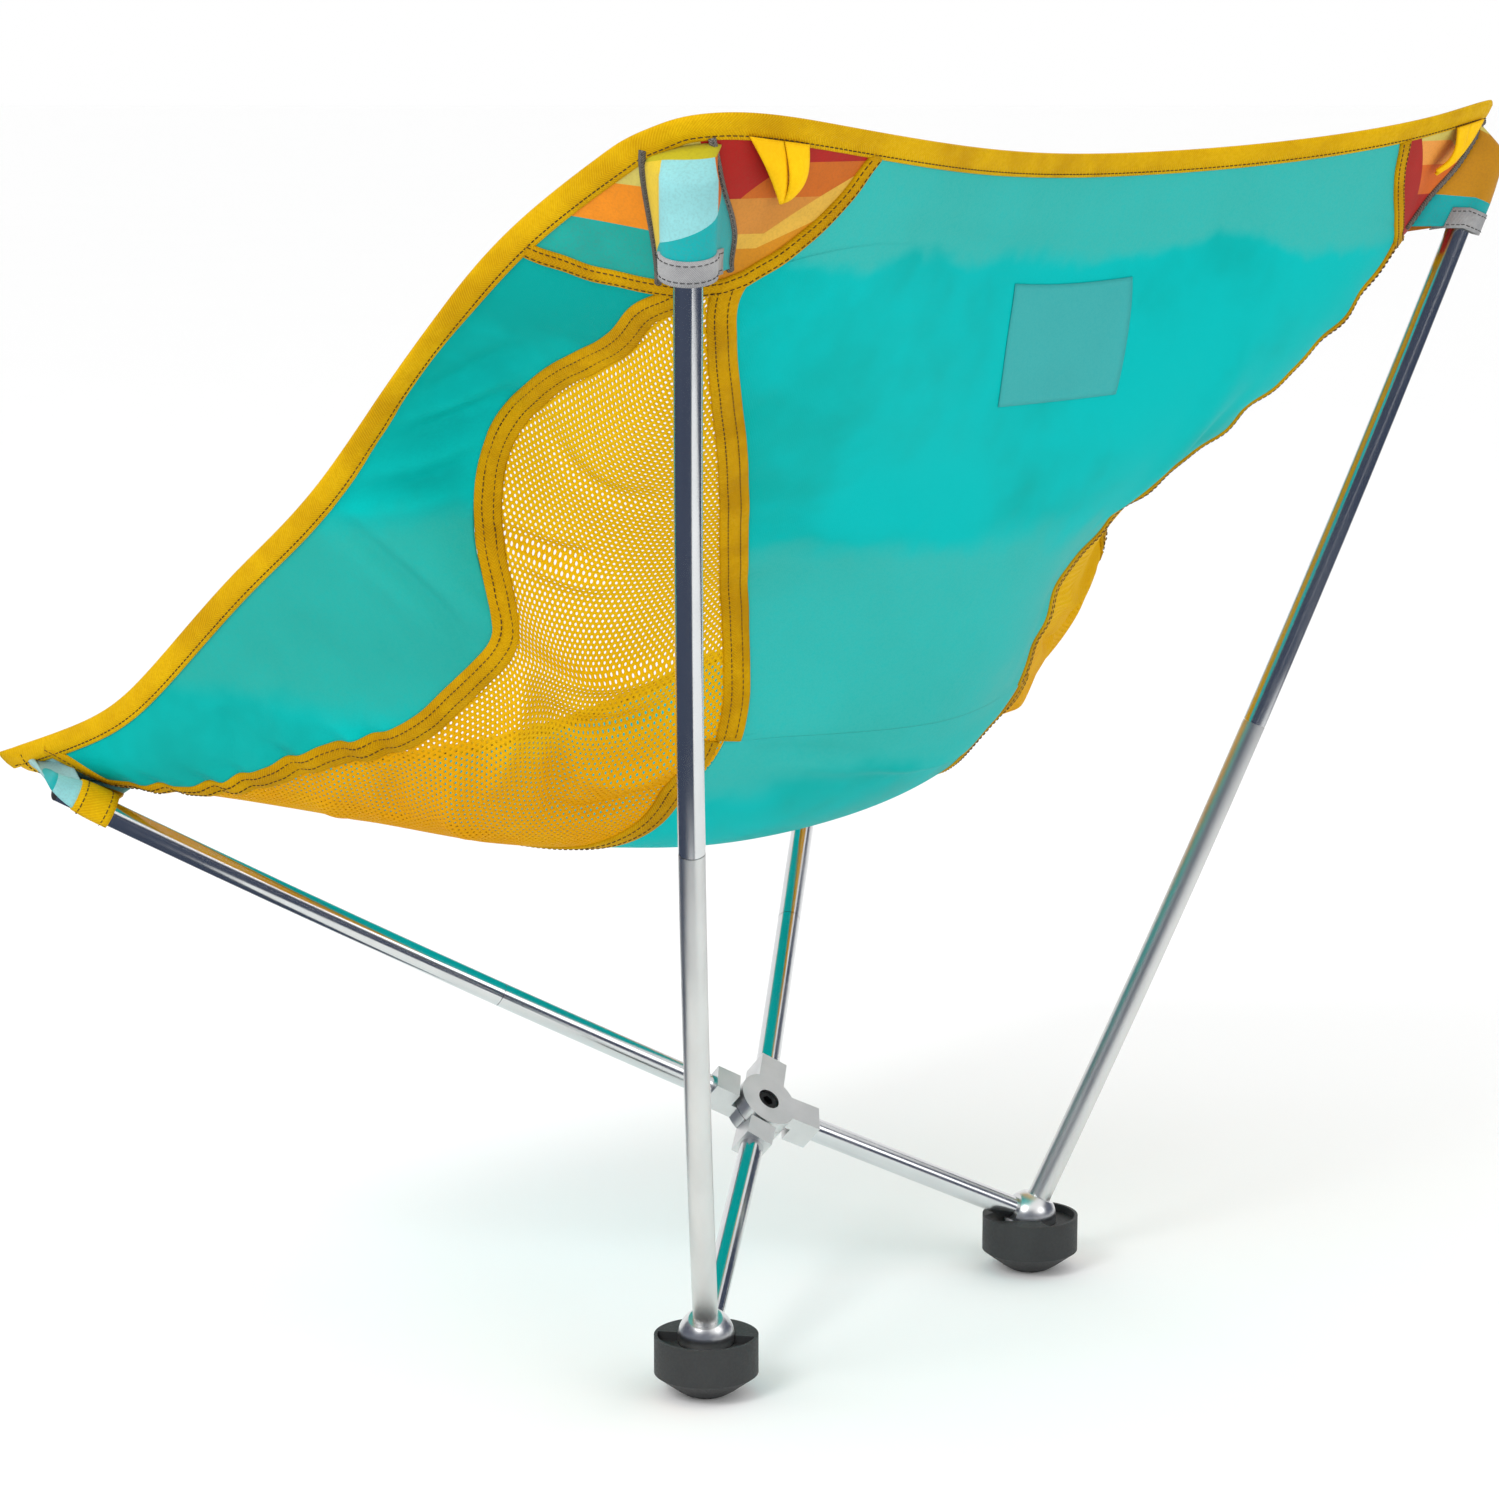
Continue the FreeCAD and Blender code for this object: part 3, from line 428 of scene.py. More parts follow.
class Shader:
    """A node material around one Principled shader."""

    def __init__(self, name, roughness=0.6, metallic=0.0, **fixed):
        self.material = bpy.data.materials.new(name)
        self.material.use_nodes = True
        self.tree = self.material.node_tree
        self.tree.nodes.clear()
        out = self.tree.nodes.new("ShaderNodeOutputMaterial")
        self.main = self.tree.nodes.new("ShaderNodeBsdfPrincipled")
        self.tree.links.new(self.main.outputs[0], out.inputs[0])
        for socket, value in dict(Roughness=roughness, Metallic=metallic, **fixed).items():
            self.main.inputs[socket.replace("_", " ")].default_value = value

    def put(self, socket, value):
        if isinstance(value, bpy.types.NodeSocket):
            self.tree.links.new(value, socket)
        elif isinstance(value, (tuple, list)) and len(value) == 3 and len(socket.default_value) == 4:
            socket.default_value = (*value, 1.0)
        else:
            socket.default_value = value

    def node(self, kind, inputs=(), output=0, **settings):
        node = self.tree.nodes.new("ShaderNode" + kind)
        for key, value in settings.items():
            setattr(node, key, value)
        for key, value in dict(inputs).items():
            self.put(node.inputs[key], value)
        return node.outputs[output]

    def math(self, operation, a, b=0.0):
        return self.node("Math", {0: a, 1: b}, operation=operation)

    def plus(self, a, b):
        return self.math("ADD", a, b)

    def times(self, a, b):
        return self.math("MULTIPLY", a, b)

    def cloth(self):
        return self.node("UVMap", uv_map="cloth")

    def place(self):
        return self.node("TexCoord", output="Object")

    def parts(self, vector):
        node = self.tree.nodes.new("ShaderNodeSeparateXYZ")
        self.put(node.inputs[0], vector)
        return node.outputs[0], node.outputs[1], node.outputs[2]

    def noise(self, vector, scale, detail=3.0, roughness=0.55):
        inputs = {"Vector": vector, "Scale": scale, "Detail": detail, "Roughness": roughness}
        return self.node("TexNoise", inputs)

    def ramp(self, value, low, high, to_low=0.0, to_high=1.0):
        limits = {0: value, 1: low, 2: high, 3: to_low, 4: to_high}
        return self.node("MapRange", limits, interpolation_type="SMOOTHSTEP")

    def mix(self, amount, a, b):
        return self.node("Mix", {0: amount, 6: a, 7: b}, 2, data_type="RGBA")

    def colour(self, value):
        self.put(self.main.inputs["Base Color"], value)

    def rough(self, value):
        self.put(self.main.inputs["Roughness"], value)

    def bump(self, height, strength, distance):
        bump = self.node("Bump", {"Strength": strength, "Distance": distance, "Height": height})
        self.put(self.main.inputs["Normal"], bump)

    def weave(self, vector, pitch):
        """Plain weave: threads over and under each other, as a height from 0 to 1."""
        x, y, _ = self.parts(vector)
        a, b = (self.math("SINE", self.times(t, math.pi / pitch)) for t in (x, y))
        over = self.math("GREATER_THAN", self.times(a, b), 0.0)
        return self.plus(self.times(self.math("ABSOLUTE", a), over),
                         self.times(self.math("ABSOLUTE", b), self.math("SUBTRACT", 1.0, over)))


def sling_cloth(name, base, pale, deep, bands):
    """Plain weave polyester whose face has worn pale in soft-edged bands."""
    s = Shader(name, roughness=0.6, Specular_IOR_Level=0.04)
    cloth = s.cloth()
    place = s.place()
    _, _, z = s.parts(place)
    wander = s.noise(place, 9.0, 4.0, 0.6)
    wide = s.noise(place, 3.2, 2.0, 0.5)
    grain = s.noise(place, 420.0, 2.0, 0.7)
    speck = s.noise(place, 1300.0, 1.0, 0.6)
    height = s.plus(z, s.times(s.math("SUBTRACT", wander, 0.5), 0.07))
    amount = None
    for low_edge, high_edge, softness, strength in bands:
        rise = s.ramp(height, low_edge - softness, low_edge + softness)
        fall = s.ramp(height, high_edge - softness, high_edge + softness, 1.0, 0.0)
        band = s.times(s.times(rise, fall), strength)
        amount = band if amount is None else s.math("MAXIMUM", amount, band)
    patchy = s.times(s.ramp(wide, 0.5, 0.68), 0.14)
    amount = s.plus(amount, patchy)
    amount = s.times(amount, s.ramp(grain, 0.2, 0.6, 0.72, 1.0))
    tone = s.mix(s.ramp(wander, 0.32, 0.62), deep, base)
    tone = s.mix(amount, tone, pale)
    tone = s.mix(s.ramp(speck, 0.35, 0.7, 0.0, 0.16), tone, deep)
    s.colour(tone)
    weave = s.weave(cloth, 0.55 * MM)
    s.bump(s.plus(s.times(weave, 0.6), s.times(grain, 0.8)), 0.35, 0.00025)
    s.rough(s.ramp(wander, 0.3, 0.7, 0.48, 0.66))
    return s.material


def tape_cloth(name, base, deep, pale, pitch=1.5 * MM, strength=0.5):
    """Twill tape: slanted ribs that turn back at the tape's middle, as herringbone."""
    s = Shader(name, roughness=0.62, Specular_IOR_Level=0.04)
    along, across, _ = s.parts(s.cloth())
    place = s.place()
    wide = s.noise(place, 28.0, 3.0, 0.6)
    fine = s.noise(place, 600.0, 2.0, 0.6)
    slant = s.plus(along, s.math("ABSOLUTE", across))
    rib = s.math("SINE", s.times(slant, 2 * math.pi / pitch))
    rib = s.ramp(rib, -0.8, 0.9)
    thread = s.math("SINE", s.times(across, 2 * math.pi / (0.6 * MM)))
    tone = s.mix(s.ramp(wide, 0.3, 0.65), deep, base)
    tone = s.mix(s.times(rib, 0.35), tone, pale)
    tone = s.mix(s.ramp(fine, 0.35, 0.7, 0.0, 0.25), tone, deep)
    s.colour(tone)
    s.bump(s.plus(rib, s.times(thread, 0.15)), strength, 0.0004)
    s.rough(s.ramp(fine, 0.3, 0.7, 0.5, 0.72))
    return s.material


def mesh_cloth():
    s = Shader("yellow_mesh_knit", roughness=0.6, Specular_IOR_Level=0.03)
    cloth = s.cloth()
    place = s.place()
    _, _, z = s.parts(place)
    wide = s.noise(place, 16.0, 3.0, 0.55)
    fine = s.noise(place, 900.0, 2.0, 0.6)
    # painted shade: below about 0.3 m the knit is painted darker orange, for the shadowed inside seen through its
    # holes
    height = s.plus(z, s.times(s.math("SUBTRACT", wide, 0.5), 0.05))
    tone = s.mix(s.ramp(height, 0.27, 0.37), (0.74, 0.33, 0.001), (0.76, 0.44, 0.002))
    tone = s.mix(s.ramp(wide, 0.45, 0.7, 0.0, 0.5), tone, (0.82, 0.50, 0.006))
    tone = s.mix(s.ramp(fine, 0.35, 0.7, 0.0, 0.3), tone, (0.70, 0.34, 0.01))
    s.colour(tone)
    s.bump(s.plus(s.weave(cloth, 0.4 * MM), fine), 0.4, 0.0003)
    return s.material


def print_cloth(name, base, blocks=(), split=None, other_base=None, other_blocks=()):
    """Plain weave with straight-edged blocks of colour. Each block is (a, b, limit, colour) and covers what
    lies under it where a * across + b * along passes the limit. Past the split the other set takes over."""
    s = Shader(name, roughness=0.6, Sheen_Weight=0.05, Specular_IOR_Level=0.2)
    place = s.place()
    x, y, _ = s.parts(s.cloth())

    def layered(tone, layers):
        for a, b, limit, colour in layers:
            reach = s.plus(s.times(x, a), s.times(y, b))
            tone = s.mix(s.math("GREATER_THAN", reach, limit), tone, colour)
        return tone

    tone = layered(base, blocks)
    if split is not None:
        tone = s.mix(s.math("GREATER_THAN", x, split), tone, layered(other_base, other_blocks))
    wide = s.noise(place, 45.0, 2.0, 0.5)
    fine = s.noise(place, 900.0, 2.0, 0.6)
    tone = s.mix(s.ramp(wide, 0.35, 0.7, 0.0, 0.22), tone, s.mix(0.5, tone, (0.02, 0.01, 0.0)))
    tone = s.mix(s.ramp(fine, 0.4, 0.7, 0.0, 0.12), tone, (0.12, 0.05, 0.02))
    s.colour(tone)
    s.bump(s.plus(fine, s.times(wide, 0.4)), 0.3, 0.0003)
    return s.material


def metal(name, tone, roughness, streak, brushed):
    """Bare or anodised aluminium with fine drawn or turned lines."""
    s = Shader(name, roughness=roughness, metallic=1.0)
    place = s.place()
    stretched = s.node("Mapping", {"Vector": place, "Scale": streak})
    lines = s.noise(stretched, 60.0, 4.0, 0.6)
    wide = s.noise(place, 14.0, 2.0, 0.5)
    s.colour(s.mix(s.ramp(lines, 0.3, 0.7, 0.0, 0.35), tone, tuple(c * 0.84 for c in tone)))
    s.rough(s.plus(s.ramp(wide, 0.3, 0.7, roughness - 0.03, roughness + 0.03),
                   s.ramp(lines, 0.3, 0.7, 0.0, brushed)))
    s.bump(lines, 0.05, 0.0002)
    return s.material


def dull(name, tone, roughness, spread, **fixed):
    """Rubber, plastic or thread: matt, with fine grain and slight unevenness."""
    s = Shader(name, roughness=roughness, **fixed)
    place = s.place()
    fine = s.noise(place, 780.0, 3.0, 0.6)
    wide = s.noise(place, 32.5)
    s.colour(s.mix(s.ramp(wide, 0.3, 0.7), tone, tuple(c * spread for c in tone)))
    s.rough(s.ramp(fine, 0.3, 0.7, roughness - 0.07, roughness + 0.07))
    s.bump(fine, 0.25, 0.0002)
    return s.material


TEAL, TEAL_PALE, TEAL_DEEP = (0.0, 0.48, 0.47), (0.055, 0.44, 0.40), (0.0, 0.38, 0.35)
YELLOW, YELLOW_DEEP, YELLOW_PALE = (0.68, 0.39, 0.002), (0.50, 0.25, 0.001), (0.80, 0.53, 0.006)
GOLD, GOLD_DEEP = (0.56, 0.30, 0.001), (0.38, 0.18, 0.001)

teal = sling_cloth("teal_plain_weave", TEAL, TEAL_PALE, TEAL_DEEP,
                   ((0.540, 0.64, 0.005, 0.80), (0.285, 0.405, 0.009, 0.70)))
strip_teal = sling_cloth("teal_strip_weave", (0.0, 0.45, 0.425), (0.03, 0.36, 0.31), (0.0, 0.33, 0.30),
                         ((0.335, 0.425, 0.010, 0.75),))
binding_tape = tape_cloth("yellow_twill_binding", YELLOW, YELLOW_DEEP, YELLOW_PALE)
gold_tape = tape_cloth("yellow_twill_seam_tape", GOLD, GOLD_DEEP, YELLOW, strength=0.35)
webbing = tape_cloth("yellow_loop_webbing", (0.95, 0.55, 0.004), (0.80, 0.40, 0.003), (1.0, 0.68, 0.02),
                     0.9 * MM, 0.3)
silver_tape = tape_cloth("silver_woven_tape", (0.42, 0.42, 0.42), (0.24, 0.24, 0.25), (0.62, 0.62, 0.62),
                         0.8 * MM)
grey_tape = tape_cloth("grey_seam_binding", (0.16, 0.14, 0.12), (0.07, 0.06, 0.05), (0.42, 0.40, 0.36),
                       1.2 * MM, 0.9)
thread = dull("dark_brown_thread", (0.11, 0.055, 0.01), 0.7, 0.6, Specular_IOR_Level=0.3)
grey_thread = dull("grey_thread", (0.10, 0.10, 0.10), 0.7, 0.6, Specular_IOR_Level=0.3)
mesh_knit = mesh_cloth()

PALE_YELLOW, ORANGE, GREEN_TEAL = (0.62, 0.52, 0.11), (0.80, 0.25, 0.004), (0.0, 0.36, 0.31)
RED, BURNT, TAN = (0.42, 0.006, 0.003), (0.58, 0.13, 0.004), (0.62, 0.24, 0.03)
STREAK, AMBER, BRIGHT_ORANGE = (0.72, 0.42, 0.05), (0.62, 0.24, 0.003), (0.82, 0.32, 0.05)
VERMILION, OCHRE, DEEP_AMBER = (0.70, 0.13, 0.004), (0.72, 0.52, 0.03), (0.52, 0.23, 0.003)
PALE_BLUE, LENS_BLUE = (0.26, 0.60, 0.62), (0.30, 0.53, 0.54)
MID_TEAL, LIME = (0.0, 0.37, 0.38), (0.48, 0.42, 0.01)

# ---------------------------------------------------------------- panels

CLOTH_HALF = 0.3 * MM


def finish_piece(obj, nodes=(), body=None):
    """A finished sewn piece: it goes with one frame's body when it is sewn round one pole, and is otherwise baked
    in place; the CAD nodes it replaces are hidden.
    """
    if body:
        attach(obj, body)
    else:
        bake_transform(obj)
    if nodes:
        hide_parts(*nodes)


def lens_edge(v):
    """Half width of the back panel, in line numbers: it stops at the corner lining near the top."""
    return np.interp(v, [0.0, 0.25, 0.43, 0.58, 0.72, 0.83, 0.91, 0.95, 0.965, 1.0],
                     [0.725, 0.715, 0.70, 0.70, 0.715, 0.75, 0.80, 0.87, 0.97, 1.0])


def panel(name, stations, low, high, material, across):
    """Cloth over a run of stations, from the low to the high line number."""
    v, t = np.meshgrid(stations, np.linspace(0, 1, across), indexing="ij")
    u = low + (high - low) * t
    build = Build()
    build.shell(on_sling(u, v, -CLOTH_HALF), on_sling(u, v, CLOTH_HALF), cloth_coords(on_sling(u, v)))
    return build.object(name, [material])


stations = np.linspace(0.06, 5.06, 190)
half_width = lens_edge(stations)[:, None]
back = panel("back_panel_cloth", stations, -half_width, half_width, teal, 220)
seat = panel("seat_panel_cloth", np.linspace(4.98, 9.96, 170), -1.0, 1.0, teal, 150)
strips = {name: panel(f"side_strip_cloth_{name}", np.linspace(0.98, 9.96, 260),
                      *sorted((side * 3.0, side * 3.98)), strip_teal, 40)
          for name, side in SIDES.items()}

# ---------------------------------------------------------------- mesh panels, with their holes


def even_out(values, reach):
    """Running mean over this many neighbours each way."""
    padded = np.pad(values, reach, mode="reflect", reflect_type="odd")
    return np.convolve(padded, np.ones(2 * reach + 1) / (2 * reach + 1), "valid")


class Unrolled:
    """Flat map of the mesh panel, laid out from its middle line, that leads back to sling coordinates."""

    REACH = 90      # its turns are evened out over this many rows, so that the rows never cross

    def __init__(self, side):
        u = np.linspace(0.86, 3.14, 115)
        v = np.linspace(0.93, 9.62, 870)
        self.u, self.v = np.meshgrid(side * u, v)
        place = look_up(UNCREASED, self.u, self.v)
        middle = int(np.argmin(abs(u - 2.0)))
        line = place[:, middle]
        up = normal_at(self.u[:, middle], self.v[:, middle])
        ahead = unit(np.gradient(line, axis=0))
        turn = np.zeros(len(v))
        for i in range(1, len(v)):
            carried = ahead[i - 1] - up[i] * (ahead[i - 1] @ up[i])
            turn[i] = turn[i - 1] + math.atan2(np.cross(carried, ahead[i]) @ up[i], carried @ ahead[i])
        turn = even_out(turn, self.REACH)
        step = np.r_[0, np.linalg.norm(np.diff(line, axis=0), axis=1)]
        spine = np.cumsum(np.stack([step * np.cos(turn), step * np.sin(turn)], -1), 0)
        out = unit(np.gradient(place, axis=1)[:, middle]) * side
        angle = turn + np.arctan2(np.sum(np.cross(ahead, out) * up, -1), np.sum(ahead * out, -1))
        angle = even_out(angle, self.REACH)
        reach = from_column(place, middle)
        self.flat = spine[:, None] + reach[..., None] * np.stack([np.cos(angle), np.sin(angle)], -1)[:, None]
        self.tree = kdtree.KDTree(reach.size)
        for k, (x, y) in enumerate(self.flat.reshape(-1, 2)):
            self.tree.insert((x, y, 0), k)
        self.tree.balance()

    def back(self, points):
        """Sling coordinates of flat points, and how far each lies from the map."""
        found = [self.tree.find((x, y, 0)) for x, y in points]
        rows, columns = self.u.shape
        i, j = np.divmod([place for _, place, _ in found], columns)
        i, j = np.clip(i, 1, rows - 2), np.clip(j, 1, columns - 2)
        a = (self.flat[i, j + 1] - self.flat[i, j - 1]) / 2
        b = (self.flat[i + 1, j] - self.flat[i - 1, j]) / 2
        gap = points - self.flat[i, j]
        size = a[:, 0] * b[:, 1] - a[:, 1] * b[:, 0]
        s = np.clip((gap[:, 0] * b[:, 1] - gap[:, 1] * b[:, 0]) / size, -1.5, 1.5)
        t = np.clip((a[:, 0] * gap[:, 1] - a[:, 1] * gap[:, 0]) / size, -1.5, 1.5)
        u = self.u[i, j] + s * (self.u[i, j + 1] - self.u[i, j - 1]) / 2
        v = self.v[i, j] + t * (self.v[i + 1, j] - self.v[i - 1, j]) / 2
        return u, v, np.array([miss for _, _, miss in found])


HOLE_ACROSS, HOLE_ALONG = 2.75 * MM, 2.75 * MM       # spacing in a row, and from row to row
HOLE_WIDE, HOLE_TALL = 0.68 * MM, 1.02 * MM          # half sizes of one hole
HOLE_CLOSED = 0.78                                   # how small the slack cloth under the seat makes them
SLACK_TOP, SLACK_DEPTH = 0.305, 0.07                 # they start to open at this height, over this much of it
KNIT_TILT = math.radians(8.0)
KNIT_HALF = 0.22 * MM


def mesh_panel(name, side):
    """Knitted mesh: staggered six-sided cells, each a ring of cloth round an oval hole."""
    unrolled = Unrolled(side)
    lo, hi = unrolled.flat.min((0, 1)), unrolled.flat.max((0, 1))
    turn = np.array([[math.cos(KNIT_TILT), -math.sin(KNIT_TILT)], [math.sin(KNIT_TILT), math.cos(KNIT_TILT)]])
    span = np.linalg.norm(hi - lo)
    counts = (int(span / pitch) for pitch in (HOLE_ACROSS, HOLE_ALONG))
    col, row = np.meshgrid(*(np.arange(-count, count) for count in counts))
    # the flat map runs along x, so rows of holes lie along y
    centres = np.stack([row * HOLE_ALONG, (col + 0.5 * (row % 2)) * HOLE_ACROSS], -1).reshape(-1, 2)
    place = centres @ turn.T + (lo + hi) / 2
    inside = np.all((place > lo - 4 * MM) & (place < hi + 4 * MM), axis=1)
    col, row, place = col.reshape(-1)[inside], row.reshape(-1)[inside], place[inside]
    u, v, miss = unrolled.back(place)
    half = np.abs(u)
    keep = (miss < 1.2 * MM) & (half > 0.97) & (half < 3.04) & (v > 0.99) & (v < 9.56)
    col, row, place = col[keep], row[keep], place[keep]
    # a cell's corners are shared with its neighbours, so each is kept once, by its place in the lattice
    keys = {}
    outline = np.array([[keys.setdefault((3 * r + dx, 2 * c + r % 2 + dy), len(keys))
                         for dx, dy in ((2, 0), (1, -1), (-1, -1), (-2, 0), (-1, 1), (1, 1))]
                        for c, r in zip(col.tolist(), row.tolist())])
    lattice = np.array(list(keys), float) * (HOLE_ALONG / 3, HOLE_ACROSS / 2)
    angles = np.radians([0, -60, -120, 180, 120, 60])
    ring = np.stack([HOLE_TALL * np.cos(angles), HOLE_WIDE * np.sin(angles)], -1) @ turn.T
    height = on_sling(u[keep], v[keep])[:, 2]
    size = HOLE_CLOSED + (1 - HOLE_CLOSED) * smooth((height - SLACK_TOP) / SLACK_DEPTH)
    rings = (place[:, None] + ring[None] * size[:, None, None]).reshape(-1, 2)
    flat = np.concatenate([lattice @ turn.T + (lo + hi) / 2, rings])
    u, v, _ = unrolled.back(flat)
    n = len(flat)
    holes = len(lattice) + np.arange(len(place))[:, None] * 6 + np.arange(6)
    around, hole_next = np.roll(outline, -1, 1), np.roll(holes, -1, 1)
    top = np.stack([outline, around, hole_next, holes], -1).reshape(-1, 4)
    wall = np.stack([holes, hole_next, hole_next + n, holes + n], -1).reshape(-1, 4)
    # the panel's outer border: the cell sides that have no neighbour
    edges = dict.fromkeys(zip(outline.reshape(-1).tolist(), around.reshape(-1).tolist()))
    rim = np.array([(b, a, a + n, b + n) for a, b in edges if (b, a) not in edges])
    faces = np.concatenate([top, top[:, ::-1] + n, wall, rim])[:, ::side]
    points = np.concatenate([on_sling(u, v, KNIT_HALF), on_sling(u, v, -KNIT_HALF)])
    return make_mesh(name, points, [tuple(f) for f in faces.tolist()], np.tile(flat, (2, 1)), [mesh_knit])


meshes = {name: mesh_panel(f"mesh_panel_cloth_{name}", side) for name, side in SIDES.items()}

# ---------------------------------------------------------------- seam tapes and edge binding

LENS_LINE = [(4.0, 1.10), (3.81, 1.07), (3.71, 1.03), (3.58, 1.0), (3.46, 0.96), (3.32, 0.94), (3.15, 0.93),
             (2.5, 0.93), (1.8, 0.935), (1.25, 0.95), (0.97, 0.96), (0.86, 0.95), (0.80, 0.91), (0.75, 0.83),
             (0.715, 0.72), (0.70, 0.58), (0.70, 0.43), (0.715, 0.25), (0.725, 0.05)]
PANEL_LINE = [(1.0, 0.985), (0.96, 1.28), (0.98, 1.76), (1.02, 2.58), (1.02, 3.7), (1.0, 4.4), (0.98, 5.02)]
SEAT_LINE = [(1.12, 5.0), (1.1, 5.5), (0.99, 6.23), (1.0, 6.8), (1.02, 7.6), (1.0, 8.6), (1.0, 9.5)]
STRIP_LINE = [(2.8, 0.96), (3.05, 1.04), (3.07, 1.37), (3.04, 1.77), (3.0, 2.16), (2.98, 2.54), (2.93, 3.15),
              (2.88, 3.74), (2.89, 4.37), (3.0, 5.47), (3.02, 6.43), (2.98, 7.27), (2.94, 8.15), (2.88, 9.05),
              (2.86, 9.55)]
FRONT_LINE = [(4.0, 9.70), (3.78, 9.63), (3.52, 9.58), (3.16, 9.55), (2.6, 9.52), (1.6, 9.5), (1.0, 9.52)]
# the tapes along the lens and front lines end under the edge binding
LENS_TAPE_LINE = [(3.88, 1.085)] + LENS_LINE[1:-1] + [(0.722, 0.15)]
FRONT_TAPE_LINE = [(3.85, 9.65)] + FRONT_LINE[1:]
CORNER_ACROSS, CORNER_ALONG = 0.62, 0.16     # the rear corner is rounded over this much of u and v


def flipped(points, side):
    return [(side * u, v) for u, v in points]


# each tape's name and CAD node, and for each of its lines the width, the stitch rows and the height, in mm
TAPES = (
    ("panel_tape", ["panel_seam_tape"],
     ((PANEL_LINE, 13, (-2.8, 2.8), 1.5), (SEAT_LINE, 13, (-2.8, 2.8), 1.3))),
    ("strip_tape", ["strip_seam_tape"], ((STRIP_LINE, 12.5, (-2.6, 2.6), 1.5),)),
    ("corner_tape", [], ((LENS_TAPE_LINE, 8, (-2.4, 2.4), 1.8), (FRONT_TAPE_LINE, 6, (0.0,), 1.6))))
for name, side in SIDES.items():
    for label, nodes, lines in TAPES:
        tape = Build()
        for points, width, rows, outer in lines:
            seam_tape(tape, flipped(points, side), width * MM, [row * MM for row in rows], outer * MM)
        finish_piece(tape.object(f"{label}_{name}", [gold_tape, thread]),
                     [f"{node}_{name}" for node in nodes])


class EdgeRoute:
    """The sling's border, with the direction that leads inward from it at each point."""

    SPACING = 3.5 * MM

    def __init__(self, points, overrun):
        points = np.array(points, float)
        reached = distances(on_sling(*points.T))
        self.s = np.linspace(0, reached[-1], int(round(reached[-1] / self.SPACING)) + 1)
        self.u, self.v = between_knots(self.s, reached, points).T
        self.place = np.stack([even_out(column, 2) for column in on_sling(self.u, self.v).T], -1)
        self.normal = normal_at(self.u, self.v)
        self.along = unit(np.gradient(self.place, axis=0))
        self.inward = unit(np.cross(self.normal, self.along))
        self.overrun = overrun

    def past_ends(self, rows, step):
        """The rows, with one more at each end where the tape runs on past the border's ends."""
        return np.concatenate([rows[:1] - step[:1], rows, rows[-1:] + step[-1:]]) if self.overrun else rows

    def at(self, inward, lift):
        """Points this far in from the edge (or out, if negative), at a lift from the cloth."""
        if inward <= 0:
            points = self.place + self.inward * inward + self.normal * lift
        else:
            points = on_sling(*walk(self.u, self.v, self.inward, inward), lift)
        return self.past_ends(points, self.along * self.overrun)


def edge_binding(build, points, width, overrun=0.0):
    """Tape folded over the sling's border, sewn through near its inner edges."""
    route = EdgeRoute(points, overrun)
    ring = [(width, 0.9 * MM), (width - 0.8 * MM, 1.45 * MM), (width * 0.5, 1.7 * MM), (1.0 * MM, 1.6 * MM),
            (-0.7 * MM, 1.0 * MM), (-1.2 * MM, 0.1 * MM), (-0.7 * MM, -0.8 * MM), (1.0 * MM, -1.3 * MM),
            (width * 0.5, -1.4 * MM), (width - 0.8 * MM, -1.2 * MM), (width, -0.7 * MM)]
    sections = np.stack([route.at(d, h) for d, h in ring], 1)
    s = route.past_ends(route.s, np.full_like(route.s, overrun))
    across = [d - width * 0.5 if h > 0 else width * 0.5 - d for d, h in ring]
    coords = np.stack([np.stack([s, np.full_like(s, d)], -1) for d in across], 1)
    build.sweep(sections[:, ::-1], coords[:, ::-1])
    normals = route.past_ends(route.normal, route.normal * 0)
    build.stitches(route.at(width - 2.0 * MM, 1.6 * MM), normals)
    build.stitches(route.at(width - 2.0 * MM, -1.38 * MM), -normals)


def line(a, b, count):
    return [(a[0] + (b[0] - a[0]) * t, a[1] + (b[1] - a[1]) * t) for t in np.linspace(0, 1, count)]


REAR_CORNER = [(4 - CORNER_ACROSS * (1 - math.sin(t)), CORNER_ALONG * (1 - math.cos(t)))
               for t in np.radians(range(0, 91, 5))]
around = REAR_CORNER + line((4, CORNER_ALONG), (4, 10), 300)[1:]
top_edge = line((-4 + CORNER_ACROSS, 0), (4 - CORNER_ACROSS, 0), 500)
edge = Build()
edge_binding(edge, [(-u, v) for u, v in around[::-1]] + top_edge[1:-1] + around, 10.5 * MM, overrun=6 * MM)
edge_tape = edge.object("edge_tape", [binding_tape, thread])
finish_piece(edge_tape, ["back_binding", "side_binding_left", "side_binding_right"])
front = Build()
edge_binding(front, line((3.93, 10), (-3.93, 10), 500), 10 * MM)
front_tape = front.object("front_edge_tape", [binding_tape, thread])
finish_piece(front_tape, ["front_binding"])

# ---------------------------------------------------------------- printed corner linings


def evenly(points, count):
    """Sling coordinates at this many even steps along a line of them."""
    points = np.array(points, float)
    reached = distances(on_sling(*points.T))
    return between_knots(np.linspace(0, reached[-1], count), reached, points)


